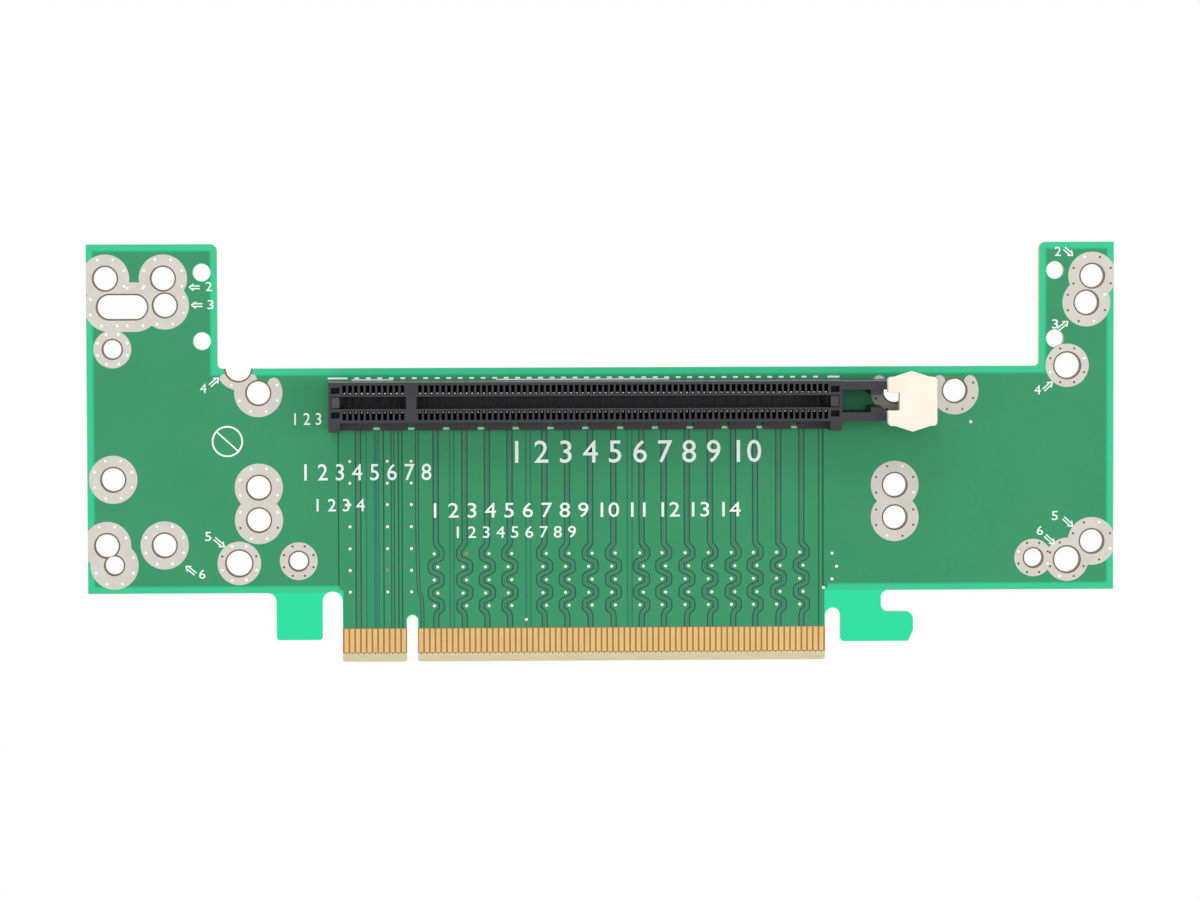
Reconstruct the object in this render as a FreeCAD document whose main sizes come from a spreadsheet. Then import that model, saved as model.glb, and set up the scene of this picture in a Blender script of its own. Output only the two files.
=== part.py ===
"""Riser card: a flat circuit board with a card-edge tongue, a wide slot and a retention lever.

The card lies on its solder joints, component side up. X runs along the slot, Y from
the tongue towards the ears, Z up. The origin is the bottom centre of the whole part. Inside
the bodies X is measured from the middle of the key notch and Y from the long lower edge.
"""
import FreeCAD, Part
import os
import Sketcher

SIZES = {
    # Board outline
    "board_left": 56.4,
    "board_right": 122.75,
    "board_height": 60.8,
    "board_thickness": 1.6,
    "recess_depth": 21.65,
    "ear_left_width": 22.7,
    "ear_right_width": 13.1,
    "ear_round": 1.2,
    "recess_fillet": 0.8,
    # Card-edge tongue and the contacts on it
    "pitch": 1.0,
    "short_count": 11,
    "long_count": 71,
    "key_span": 3.0,
    "edge_margin": 0.65,
    "key_width": 1.9,
    "key_depth": 8.15,
    "tongue_drop": 12.15,
    "tongue_round": 0.45,
    "bevel_length": 1.3,
    "bevel_rise": 0.45,
    "finger_width": 0.7,
    "finger_length": 4.15,
    "finger_inset": 1.65,
    "finger_thickness": 0.05,
    # Tab left of the tongue and hook right of it
    "tab_width": 8.0,
    "tab_drop": 8.25,
    "tab_gap": 3.5,
    "tab_gap_rise": 0.2,
    "tab_round": 0.55,
    "tab_fillet": 1.6,
    "hook_gap": 2.7,
    "hook_gap_web": 3.05,
    "hook_stem": 7.1,
    "hook_length": 12.75,
    "hook_drop": 8.95,
    "hook_mouth": 3.8,
    "hook_round": 1.3,
    "hook_heel_round": 0.6,
    "hook_toe_run": 0.9,
    "hook_toe_rise": 1.9,
    # Mounting holes
    "wide_left": 43.05,
    "wide_span": 162.0,
    "wide_low": 8.42,
    "wide_rise": 46.45,
    "wide_radius": 2.1,
    "near_left": 30.1,
    "near_span": 144.7,
    "near_low": 5.22,
    "near_rise": 34.0,
    "near_radius": 2.3,
    "line_left": 42.75,
    "line_span": 160.7,
    "line_high": 50.2,
    "twin_left": 26.63,
    "twin_span": 111.0,
    "twin_low": 12.75,
    "twin_rise": 5.68,
    "upper_twin": 34.9,
    "spare_offset": 10.5,
    "clear_radius": 1.55,
    "clear_inset": 20.05,
    "clear_right_inset": 10.3,
    "clear_low": 43.95,
    "clear_rise": 11.93,
    "edge_inset": 4.5,
    "edge_mid": 19.9,
    "oblong_inset": 4.0,
    "oblong_span": 4.5,
    "oblong_high": 49.92,
    "oblong_radius": 2.15,
    "small_radius": 1.68,
    "small_high": 42.59,
    "pair_inset": 3.35,
    "pair_high": 8.38,
    "pair_step": 1.27,
    "pair_drop": 3.44,
    "corner_inset": 3.32,
    "corner_high": 54.88,
    "low_small_left": 19.76,
    "low_small_high": 5.56,
    "low_small_span": 128.44,
    # Slot housing
    "slot_setback": 5.6,
    "housing_end": 2.75,
    "housing_width": 7.0,
    "housing_height": 11.25,
    "standoff": 0.3,
    "foot_length": 2.0,
    "card_gap": 1.8,
    "card_end_play": 1.05,
    "card_seat": 3.2,
    "rib_width": 1.75,
    "bar_height": 1.05,
    "bar_width": 0.45,
    "cavity_floor": 2.5,
    "cavity_width": 0.65,
    "cavity_outer": 3.0,
    "flange_width": 1.6,
    "flange_height": 4.0,
    "pilaster_length": 2.0,
    "relief_width": 1.3,
    "relief_depth": 1.2,
    "relief_start": 5.4,
    "relief_pitch": 6.06,
    "relief_count": 13,
    "lead_in": 1.25,
    "lead_depth": 2.5,
    "end_pocket_length": 1.5,
    "end_pocket_width": 1.05,
    "end_pocket_depth": 3.0,
    "end_pocket_inset": 0.45,
    "end_pocket_offset": 1.6,
    # Contacts in the slot
    "contact_width": 0.5,
    "contact_thickness": 0.25,
    "inner_row": 1.55,
    "outer_row": 2.8,
    "joint_height": 1.0,
    "joint_radius": 0.45,
    "nose_height": 9.9,
    "nose_reach": 0.95,
    # Latch frame and lever
    "arm_thickness": 1.45,
    "arm_gap": 3.95,
    "arm_reach": 14.0,
    "arm_round": 1.5,
    "guide_start": 5.0,
    "guide_length": 2.2,
    "guide_gap": 1.8,
    "pivot_reach": 12.25,
    "pivot_height": 4.0,
    "pin_radius": 1.0,
    "pin_clearance": 0.08,
    "side_clearance": 0.15,
    "pad_lift": 0.75,
    "pad_thickness": 2.6,
    "pad_inner": 4.6,
    "pad_outer": 3.9,
    "pad_half_width": 4.2,
    "grip_reach": 1.0,
    "grip_half_length": 3.1,
    "card_notch_width": 3.1,
    "card_notch_depth": 2.0,
    "pad_round": 0.7,
    "stem_inner": 1.6,
    "stem_outer": 3.4,
    "kicker_reach": 1.7,
    "kicker_height": 2.2,
    "kicker_tip": 0.8,
    "heel_height": 4.4,
    "sole_half_length": 1.0,
    "sole_drop": 1.0,
    "hub_radius": 1.8,
}

doc = FreeCAD.newDocument("RiserCard")
sheet = doc.addObject("Spreadsheet::Sheet", "Sizes")
for row, (alias, number) in enumerate(SIZES.items(), start=1):
    sheet.set(f"A{row}", alias)
    sheet.set(f"B{row}", str(number))
    sheet.setAlias(f"B{row}", alias)
doc.recompute()

# Places that several pieces share, as expressions of the sheet's cells.
MIDDLE_X = "-(Sizes.board_right - Sizes.board_left) / 2"
MIDDLE_Y = "-(Sizes.board_height - Sizes.tongue_drop) / 2"
BACK_Z = "Sizes.joint_height"
TOP_Z = "(Sizes.joint_height + Sizes.board_thickness)"
RECESS_Y = "(Sizes.board_height - Sizes.recess_depth)"
SLOT_Y = "(Sizes.board_height - Sizes.recess_depth - Sizes.slot_setback)"
SHORT_FIRST = "(-Sizes.key_span / 2 - (Sizes.short_count - 1) * Sizes.pitch)"
SHORT_LAST = "(-Sizes.key_span / 2)"
LONG_FIRST = "(Sizes.key_span / 2)"
LONG_LAST = "(Sizes.key_span / 2 + (Sizes.long_count - 1) * Sizes.pitch)"
TONGUE_LEFT = f"({SHORT_FIRST} - Sizes.edge_margin)"
TONGUE_RIGHT = f"({LONG_LAST} + Sizes.edge_margin)"
HOUSING_LEFT = f"({SHORT_FIRST} - Sizes.housing_end)"
HOUSING_RIGHT = f"({LONG_LAST} + Sizes.housing_end)"
GROUPS = {
    "short": (SHORT_FIRST, "Sizes.short_count"),
    "long": (LONG_FIRST, "Sizes.long_count"),
}


def value(expression):
    """Number that an expression of the sheet's cells gives now."""
    return float(sheet.evalExpression(expression))


def new_body(label, x, y, z):
    """Body with its own label, placed by expressions."""
    body = doc.addObject("PartDesign::Body", label)
    body.Label = label
    for axis, expression in zip("xyz", (x, y, z)):
        body.setExpression(f"Placement.Base.{axis}", expression)
    return body


def new_sketch(body, name, role, offset="0"):
    """Sketch on one of the body's own origin planes, moved along the plane's normal."""
    sketch = body.newObject("Sketcher::SketchObject", name)
    plane = next(item for item in body.Origin.OriginFeatures if item.Role == role)
    sketch.AttachmentSupport = (plane, [""])
    sketch.MapMode = "FlatFace"
    sketch.setExpression(".AttachmentOffset.Base.z", offset)
    return sketch


def pin_point(sketch, geometry, end, x, y):
    """Tie one point of a sketch to its distances from the sketch's origin."""
    for kind, expression in (("DistanceX", x), ("DistanceY", y)):
        rule = Sketcher.Constraint(kind, -1, 1, geometry, end, value(expression))
        number = sketch.addConstraint(rule)
        sketch.setExpression(f"Constraints[{number}]", expression)


def add_outline(sketch, corners):
    """Closed outline. A corner marked True starts a half turn that ends at the next corner."""
    first = sketch.GeometryCount
    count = len(corners)
    spots = [FreeCAD.Vector(value(corner[0]), value(corner[1]), 0) for corner in corners]
    for index, corner in enumerate(corners):
        start = spots[index]
        end = spots[(index + 1) % count]
        if len(corner) == 2:
            sketch.addGeometry(Part.LineSegment(start, end))
            continue
        bulge = (start + end) / 2 + FreeCAD.Vector(start.y - end.y, (end - start).Length, 0) / 2
        sketch.addGeometry(Part.Arc(start, bulge, end))
    ends = []
    for index, corner in enumerate(corners):
        # An arc is stored anticlockwise, so a half turn drawn the other way has its ends swapped.
        swapped = len(corner) == 3 and spots[(index + 1) % count].x > spots[index].x
        ends.append((2, 1) if swapped else (1, 2))
    for index, corner in enumerate(corners):
        after = (index + 1) % count
        joint = (first + index, ends[index][1], first + after, ends[after][0])
        sketch.addConstraint(Sketcher.Constraint("Coincident", *joint))
        pin_point(sketch, first + index, ends[index][0], corner[0], corner[1])
        if len(corner) == 3:
            height = Sketcher.Constraint("DistanceY", -1, 1, first + index, 3, spots[index].y)
            number = sketch.addConstraint(height)
            sketch.setExpression(f"Constraints[{number}]", corner[1])


def add_box(sketch, left, right, low, high):
    """Rectangle between two X and two Y expressions."""
    add_outline(sketch, [(left, low), (right, low), (right, high), (left, high)])


def add_circle(sketch, x, y, radius):
    """Circle by its centre and radius expressions."""
    centre = FreeCAD.Vector(value(x), value(y), 0)
    circle = Part.Circle(centre, FreeCAD.Vector(0, 0, 1), value(radius))
    geometry = sketch.addGeometry(circle)
    pin_point(sketch, geometry, 3, x, y)
    number = sketch.addConstraint(Sketcher.Constraint("Radius", geometry, value(radius)))
    sketch.setExpression(f"Constraints[{number}]", radius)


def new_pad(body, name, sketch, length, symmetric=False):
    """Pad along the sketch's normal, or half each way."""
    pad = body.newObject("PartDesign::Pad", name)
    pad.Profile = sketch
    pad.setExpression("Length", length)
    pad.Midplane = symmetric
    return pad


def new_pocket(body, name, sketch, depth=None, symmetric=False):
    """Pocket against the sketch's normal; without a depth it goes through everything."""
    pocket = body.newObject("PartDesign::Pocket", name)
    pocket.Profile = sketch
    if depth is None:
        pocket.Type = "ThroughAll"
    else:
        pocket.setExpression("Length", depth)
    pocket.Midplane = symmetric or depth is None
    return pocket


def repeat_along_x(body, feature, spacing, count, axis="H_Axis"):
    """Copies of one feature along its sketch's own horizontal axis, or its normal."""
    pattern = body.newObject("PartDesign::LinearPattern", f"{feature.Name}_row")
    pattern.Originals = [feature]
    pattern.Direction = (feature.Profile[0], [axis])
    pattern.Mode = "Spacing"
    pattern.setExpression("Offset", spacing)
    pattern.setExpression("Occurrences", count)
    feature.Refine = False
    pattern.Refine = False
    body.Tip = pattern
    return pattern


def edges_at(shape, test):
    """Names of the straight edges whose two ends both pass a test."""
    names = []
    for number, edge in enumerate(shape.Edges, start=1):
        if len(edge.Vertexes) == 2 and all(test(vertex.Point) for vertex in edge.Vertexes):
            names.append(f"Edge{number}")
    return names


def upright_at(x, y):
    """Test for points on one vertical line."""
    place_x = value(x)
    place_y = value(y)
    return lambda point: abs(point.x - place_x) < 1e-4 and abs(point.y - place_y) < 1e-4


def round_edges(body, name, feature, tests, radius):
    """Fillet of the edges that pass any of the tests."""
    doc.recompute()
    names = [edge for test in tests for edge in edges_at(feature.Shape, test)]
    fillet = body.newObject("PartDesign::Fillet", name)
    fillet.Base = (feature, names)
    fillet.setExpression("Radius", radius)
    return fillet


def mounting_holes():
    """Centre and radius of every round hole, in the body's X and Y."""
    wide_right = "(Sizes.wide_span - Sizes.wide_left)"
    wide_high = "(Sizes.wide_low + Sizes.wide_rise)"
    near_right = "(Sizes.near_span - Sizes.near_left)"
    near_high = "(Sizes.near_low + Sizes.near_rise)"
    twin_right = "(Sizes.twin_span - Sizes.twin_left)"
    twin_high = "(Sizes.twin_low + Sizes.twin_rise)"
    line_right = "(Sizes.line_span - Sizes.line_left)"
    low_small_right = "(Sizes.low_small_span - Sizes.low_small_left)"
    clear_left = "(Sizes.clear_inset - Sizes.board_left)"
    clear_right = "(Sizes.board_right - Sizes.clear_right_inset)"
    clear_high = "(Sizes.clear_low + Sizes.clear_rise)"
    pair_x = "(Sizes.pair_inset - Sizes.board_left)"
    edge_x = "(Sizes.edge_inset - Sizes.board_left)"
    wide = "Sizes.wide_radius"
    near = "Sizes.near_radius"
    small = "Sizes.small_radius"
    clear = "Sizes.clear_radius"
    holes = []
    for x in ("-Sizes.wide_left", wide_right):
        for y in ("Sizes.wide_low", wide_high):
            holes.append((x, y, wide))
    holes.append(("-Sizes.near_left", near_high, near))
    holes.append(("-Sizes.near_left", "Sizes.near_low", near))
    holes.append((near_right, near_high, near))
    holes.append((near_right, "Sizes.near_low", near))
    for x in ("-Sizes.line_left", line_right):
        holes.append((x, "Sizes.line_high", wide))
    for x in ("-Sizes.twin_left", twin_right):
        for y in ("Sizes.twin_low", twin_high, "Sizes.upper_twin"):
            holes.append((x, y, wide))
    holes.append((f"{twin_right} + Sizes.spare_offset", "Sizes.upper_twin", wide))
    for x in (clear_left, clear_right):
        for y in ("Sizes.clear_low", clear_high):
            holes.append((x, y, clear))
    holes.append(("Sizes.corner_inset - Sizes.board_left", "Sizes.corner_high", wide))
    holes.append((edge_x, "Sizes.edge_mid", wide))
    holes.append((edge_x, "Sizes.small_high", small))
    holes.append((pair_x, "Sizes.pair_high", wide))
    holes.append((f"{pair_x} + Sizes.pair_step", "Sizes.pair_high - Sizes.pair_drop", small))
    holes.append(("-Sizes.low_small_left", "Sizes.low_small_high", small))
    holes.append((low_small_right, "Sizes.low_small_high", small))
    return holes


def make_board():
    """Circuit board: outline with tongue, tab and hook, bevel and mounting holes."""
    body = new_body("circuit_board", MIDDLE_X, MIDDLE_Y, BACK_Z)
    left = "-Sizes.board_left"
    right = "Sizes.board_right"
    ear_left = "(Sizes.ear_left_width - Sizes.board_left)"
    ear_right = "(Sizes.board_right - Sizes.ear_right_width)"
    tab_right = f"({TONGUE_LEFT} - Sizes.tab_gap)"
    tab_left = f"({TONGUE_LEFT} - Sizes.tab_gap - Sizes.tab_width)"
    tab_gap_top = "(Sizes.tab_gap_rise - Sizes.tab_gap / 2)"
    hook_left = f"({TONGUE_RIGHT} + Sizes.hook_gap)"
    hook_gap_top = "(-Sizes.hook_gap_web - Sizes.hook_gap / 2)"
    stem_right = f"({TONGUE_RIGHT} + Sizes.hook_gap + Sizes.hook_stem)"
    hook_right = f"({TONGUE_RIGHT} + Sizes.hook_gap + Sizes.hook_length)"
    key_top = "(Sizes.key_depth - Sizes.tongue_drop - Sizes.key_width / 2)"
    outline = new_sketch(body, "board_outline", "XY_Plane")
    add_outline(outline, [
        (left, "0"),
        (tab_left, "0"),
        (tab_left, "-Sizes.tab_drop"),
        (tab_right, "-Sizes.tab_drop"),
        (tab_right, tab_gap_top, True),
        (TONGUE_LEFT, tab_gap_top),
        (TONGUE_LEFT, "-Sizes.tongue_drop"),
        ("-Sizes.key_width / 2", "-Sizes.tongue_drop"),
        ("-Sizes.key_width / 2", key_top, True),
        ("Sizes.key_width / 2", key_top),
        ("Sizes.key_width / 2", "-Sizes.tongue_drop"),
        (TONGUE_RIGHT, "-Sizes.tongue_drop"),
        (TONGUE_RIGHT, hook_gap_top, True),
        (hook_left, hook_gap_top),
        (hook_left, "-Sizes.hook_drop"),
        (f"({hook_right} - Sizes.hook_toe_run)", "-Sizes.hook_drop"),
        (hook_right, "(Sizes.hook_toe_rise - Sizes.hook_drop)"),
        (hook_right, "-Sizes.hook_mouth"),
        (stem_right, "-Sizes.hook_mouth"),
        (stem_right, "0"),
        (right, "0"),
        (right, "Sizes.board_height"),
        (ear_right, "Sizes.board_height"),
        (ear_right, RECESS_Y),
        (ear_left, RECESS_Y),
        (ear_left, "Sizes.board_height"),
        (left, "Sizes.board_height"),
    ])
    plate = new_pad(body, "board_plate", outline, "Sizes.board_thickness")

    # Rounded corners: ears and recess, hook mouth and heel, tab, tongue and key notch.
    tongue_x = (TONGUE_LEFT, "-Sizes.key_width / 2", "Sizes.key_width / 2", TONGUE_RIGHT)
    hook = ((hook_right, "-Sizes.hook_mouth"), (stem_right, "-Sizes.hook_mouth"), (stem_right, "0"))
    rounds = {
        "ear_round": ((ear_left, "Sizes.board_height"), (ear_right, "Sizes.board_height")),
        "recess_fillet": ((ear_left, RECESS_Y), (ear_right, RECESS_Y)),
        "hook_round": hook,
        "hook_heel_round": ((hook_left, "-Sizes.hook_drop"),),
        "tab_round": ((tab_left, "-Sizes.tab_drop"), (tab_right, "-Sizes.tab_drop")),
        "tab_fillet": ((tab_left, "0"),),
        "tongue_round": [(x, "-Sizes.tongue_drop") for x in tongue_x],
    }
    shape = plate
    for size, corners in rounds.items():
        tests = [upright_at(x, y) for x, y in corners]
        shape = round_edges(body, f"{size}_edges", shape, tests, f"Sizes.{size}")

    # Bevel along both faces of the tongue's end.
    bevel = new_sketch(body, "bevel_profile", "YZ_Plane")
    tip = "-Sizes.tongue_drop"
    inner = "(Sizes.bevel_length - Sizes.tongue_drop)"
    thick = "Sizes.board_thickness"
    add_outline(bevel, [(tip, "0"), (inner, "0"), (tip, "Sizes.bevel_rise")])
    add_outline(bevel, [(tip, thick), (tip, f"{thick} - Sizes.bevel_rise"), (inner, thick)])
    new_pocket(body, "tongue_bevel", bevel)

    # Round mounting holes and the oblong one.
    holes = new_sketch(body, "mounting_hole_circles", "XY_Plane")
    for x, y, radius in mounting_holes():
        if radius != "Sizes.small_radius":
            add_circle(holes, x, y, radius)
    new_pocket(body, "mounting_holes", holes)
    small = new_sketch(body, "small_hole_circles", "XY_Plane")
    for x, y, radius in mounting_holes():
        if radius == "Sizes.small_radius":
            add_circle(small, x, y, radius)
    new_pocket(body, "small_holes", small)
    ends = new_sketch(body, "oblong_ends", "XY_Plane")
    start_x = "(Sizes.oblong_inset - Sizes.board_left)"
    end_x = "(Sizes.oblong_inset + Sizes.oblong_span - Sizes.board_left)"
    for x in (start_x, end_x):
        add_circle(ends, x, "Sizes.oblong_high", "Sizes.oblong_radius")
    new_pocket(body, "oblong_end_holes", ends)
    middle = new_sketch(body, "oblong_middle", "XY_Plane")
    low = "(Sizes.oblong_high - Sizes.oblong_radius)"
    high = "(Sizes.oblong_high + Sizes.oblong_radius)"
    add_box(middle, start_x, end_x, low, high)
    new_pocket(body, "oblong_hole", middle)
    return body


def make_fingers(face, group):
    """Gold fingers of one key side on one face of the tongue."""
    offset = "Sizes.board_thickness" if face == "front" else "-Sizes.finger_thickness"
    first_x, count = GROUPS[group]
    body = new_body(f"edge_contacts_{face}_{group}", MIDDLE_X, MIDDLE_Y, BACK_Z)
    sketch = new_sketch(body, f"finger_{face}_{group}", "XY_Plane", offset)
    low = "(Sizes.finger_inset - Sizes.tongue_drop)"
    high = "(Sizes.finger_inset - Sizes.tongue_drop + Sizes.finger_length)"
    left = f"({first_x} - Sizes.finger_width / 2)"
    right = f"({first_x} + Sizes.finger_width / 2)"
    add_box(sketch, left, right, low, high)
    finger = new_pad(body, f"finger_pad_{face}_{group}", sketch, "Sizes.finger_thickness")
    repeat_along_x(body, finger, "Sizes.pitch", count)
    return body


def make_housing():
    """Moulded slot: block with feet, flange, card slot, contact cavities and latch frame."""
    body = new_body("slot_housing", MIDDLE_X, f"{MIDDLE_Y} + {SLOT_Y}", TOP_Z)
    half = "Sizes.housing_width / 2"
    low = "(-Sizes.housing_width / 2 - Sizes.flange_width)"
    pilaster_left = f"({HOUSING_LEFT} + Sizes.pilaster_length)"
    pilaster_right = f"({HOUSING_RIGHT} - Sizes.pilaster_length)"
    block = new_sketch(body, "block_outline", "XY_Plane", "Sizes.standoff")
    add_outline(block, [
        (HOUSING_LEFT, low),
        (pilaster_left, low),
        (pilaster_left, f"-{half}"),
        (pilaster_right, f"-{half}"),
        (pilaster_right, low),
        (HOUSING_RIGHT, low),
        (HOUSING_RIGHT, half),
        (HOUSING_LEFT, half),
    ])
    new_pad(body, "block", block, "Sizes.housing_height - Sizes.standoff")

    feet = new_sketch(body, "feet_outline", "XY_Plane")
    add_box(feet, HOUSING_LEFT, f"({HOUSING_LEFT} + Sizes.foot_length)", f"-{half}", half)
    add_box(feet, f"({HOUSING_RIGHT} - Sizes.foot_length)", HOUSING_RIGHT, f"-{half}", half)
    new_pad(body, "feet", feet, "Sizes.standoff")

    flange = new_sketch(body, "flange_outline", "XY_Plane", "Sizes.standoff")
    add_box(flange, pilaster_left, pilaster_right, low, f"-{half}")
    new_pad(body, "flange", flange, "Sizes.flange_height - Sizes.standoff")
    relief = new_sketch(body, "relief_outline", "XY_Plane", "Sizes.flange_height")
    relief_x = f"({SHORT_FIRST} + Sizes.relief_start)"
    relief_left = f"({relief_x} - Sizes.relief_width / 2)"
    relief_right = f"({relief_x} + Sizes.relief_width / 2)"
    add_box(relief, relief_left, relief_right, low, f"({low} + Sizes.relief_depth)")
    notch = new_pocket(body, "relief", relief, "Sizes.flange_height - Sizes.standoff")
    repeat_along_x(body, notch, "Sizes.relief_pitch", "Sizes.relief_count")

    add_latch_frame(body)
    cut_card_slot(body)
    cut_cavities(body)
    return body


def add_latch_frame(body):
    """Two arms beyond the slot's end, with guide blocks and the lever's pivot holes."""
    arm_end = f"({HOUSING_RIGHT} + Sizes.arm_reach)"
    root = f"({HOUSING_RIGHT} - Sizes.pilaster_length / 2)"
    guide_start = f"({HOUSING_RIGHT} + Sizes.guide_start)"
    guide_end = f"({HOUSING_RIGHT} + Sizes.guide_start + Sizes.guide_length)"
    arms = new_sketch(body, "arm_outlines", "XY_Plane", "Sizes.standoff")
    for side in ("1", "-1"):
        inside = f"({side} * Sizes.arm_gap / 2)"
        outside = f"({side} * (Sizes.arm_gap / 2 + Sizes.arm_thickness))"
        guide = f"({side} * Sizes.guide_gap / 2)"
        add_outline(arms, [
            (root, inside),
            (guide_start, inside),
            (guide_start, guide),
            (guide_end, guide),
            (guide_end, inside),
            (arm_end, inside),
            (arm_end, outside),
            (root, outside),
        ])
    frame = new_pad(body, "arms", arms, "Sizes.housing_height - Sizes.standoff")
    end_x = value(arm_end)
    top_z = value("Sizes.housing_height")

    def on_end_corner(point):
        return abs(point.x - end_x) < 1e-4 and abs(point.z - top_z) < 1e-4

    round_edges(body, "arm_rounds", frame, [on_end_corner], "Sizes.arm_round")
    pivot = new_sketch(body, "pivot_circle", "XZ_Plane")
    pivot_x = f"({HOUSING_RIGHT} + Sizes.pivot_reach)"
    bore = "(Sizes.pin_radius + Sizes.pin_clearance)"
    add_circle(pivot, pivot_x, "Sizes.pivot_height", bore)
    new_pocket(body, "pivot_holes", pivot)


def cut_card_slot(body):
    """Card slot with its key rib, the wider room below the bars, lead-ins and end pockets."""
    slot_left = f"({SHORT_FIRST} - Sizes.card_end_play)"
    slot_right = f"({LONG_LAST} + Sizes.card_end_play)"
    mouth = new_sketch(body, "card_slot_outline", "XY_Plane", "Sizes.housing_height")
    for left, right in ((slot_left, "-Sizes.rib_width / 2"), ("Sizes.rib_width / 2", slot_right)):
        add_box(mouth, left, right, "-Sizes.card_gap / 2", "Sizes.card_gap / 2")
    new_pocket(body, "card_slot", mouth, "Sizes.housing_height - Sizes.card_seat")

    bar_bottom = "Sizes.housing_height - Sizes.bar_height"
    room = new_sketch(body, "spring_room_outline", "XY_Plane", bar_bottom)
    reach = "(Sizes.card_gap / 2 + Sizes.bar_width)"
    play = "Sizes.cavity_width / 2"
    for first, last in ((SHORT_FIRST, SHORT_LAST), (LONG_FIRST, LONG_LAST)):
        add_box(room, f"({first} - {play})", f"({last} + {play})", f"(-1 * {reach})", reach)
    new_pocket(body, "spring_room", room, f"{bar_bottom} - Sizes.cavity_floor")

    top = "Sizes.housing_height"
    lead_bottom = f"({top} - Sizes.lead_depth)"
    lead_left = f"({slot_left} - Sizes.lead_in)"
    lead_right = f"({slot_right} + Sizes.lead_in)"
    slope = new_sketch(body, "lead_in_profile", "XZ_Plane")
    add_outline(slope, [(lead_left, top), (slot_left, lead_bottom), (slot_left, top)])
    add_outline(slope, [(slot_right, top), (slot_right, lead_bottom), (lead_right, top)])
    new_pocket(body, "lead_ins", slope, "Sizes.card_gap", symmetric=True)

    pockets = new_sketch(body, "end_pocket_outlines", "XY_Plane", top)
    near = f"({HOUSING_LEFT} + Sizes.end_pocket_inset)"
    near_end = f"({near} + Sizes.end_pocket_length)"
    far = f"({HOUSING_RIGHT} - Sizes.end_pocket_inset)"
    far_start = f"({far} - Sizes.end_pocket_length)"
    inner = "Sizes.end_pocket_offset"
    outer = "(Sizes.end_pocket_offset + Sizes.end_pocket_width)"
    for left, right in ((near, near_end), (far_start, far)):
        add_box(pockets, left, right, inner, outer)
        add_box(pockets, left, right, f"(-1 * {outer})", f"(-1 * {inner})")
    new_pocket(body, "end_pockets", pockets, "Sizes.end_pocket_depth")


def cut_cavities(body):
    """One cavity for each contact, open at the top and, below the bar, to the card slot."""
    inner = "(Sizes.card_gap / 2 + Sizes.bar_width)"
    outer = "Sizes.cavity_outer"
    for group, (first_x, count) in GROUPS.items():
        sketch = new_sketch(body, f"cavity_outline_{group}", "XY_Plane", "Sizes.housing_height")
        left = f"({first_x} - Sizes.cavity_width / 2)"
        right = f"({first_x} + Sizes.cavity_width / 2)"
        add_box(sketch, left, right, inner, outer)
        add_box(sketch, left, right, f"(-1 * {outer})", f"(-1 * {inner})")
        depth = "Sizes.housing_height - Sizes.cavity_floor"
        cavity = new_pocket(body, f"cavity_{group}", sketch, depth)
        repeat_along_x(body, cavity, "Sizes.pitch", count)


def make_slot_contacts(side_name, side, group):
    """Spring contacts of one slot wall on one side of the key, with their solder joints.

    A blade stands on its cavity's floor and leans towards the card. Its joint is on the back of
    the board, straight below the foot. The feet stand in two rows.
    """
    first_x, count = GROUPS[group]
    label = f"slot_contacts_{side_name}_{group}"
    body = new_body(label, MIDDLE_X, f"{MIDDLE_Y} + {SLOT_Y}", TOP_Z)
    floor = "Sizes.cavity_floor"
    tip = "Sizes.nose_height"
    back = "-Sizes.board_thickness"
    joint_end = "(-Sizes.board_thickness - Sizes.joint_height)"
    half = "Sizes.contact_thickness / 2"
    rows = {
        "outer": ("Sizes.outer_row", first_x, f"ceil({count} / 2)"),
        "inner": ("Sizes.inner_row", f"({first_x} + Sizes.pitch)", f"floor({count} / 2)"),
    }
    for row, (distance, start, copies) in rows.items():
        name = f"{side_name}_{group}_{row}"
        sketch = new_sketch(body, f"profile_{name}", "YZ_Plane", f"{start} - Sizes.contact_width / 2")
        add_outline(sketch, [
            (f"({side} * ({distance} - {half}))", floor),
            (f"({side} * ({distance} + {half}))", floor),
            (f"({side} * (Sizes.nose_reach + {half}))", tip),
            (f"({side} * (Sizes.nose_reach - {half}))", tip),
        ])
        add_outline(sketch, [
            (f"({side} * ({distance} - Sizes.joint_radius))", back),
            (f"({side} * ({distance} + Sizes.joint_radius))", back),
            (f"({side} * {distance})", joint_end),
        ])
        contact = new_pad(body, f"contact_{name}", sketch, "Sizes.contact_width")
        repeat_along_x(body, contact, "Sizes.pitch * 2", copies, "N_Axis")
    return body


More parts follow.
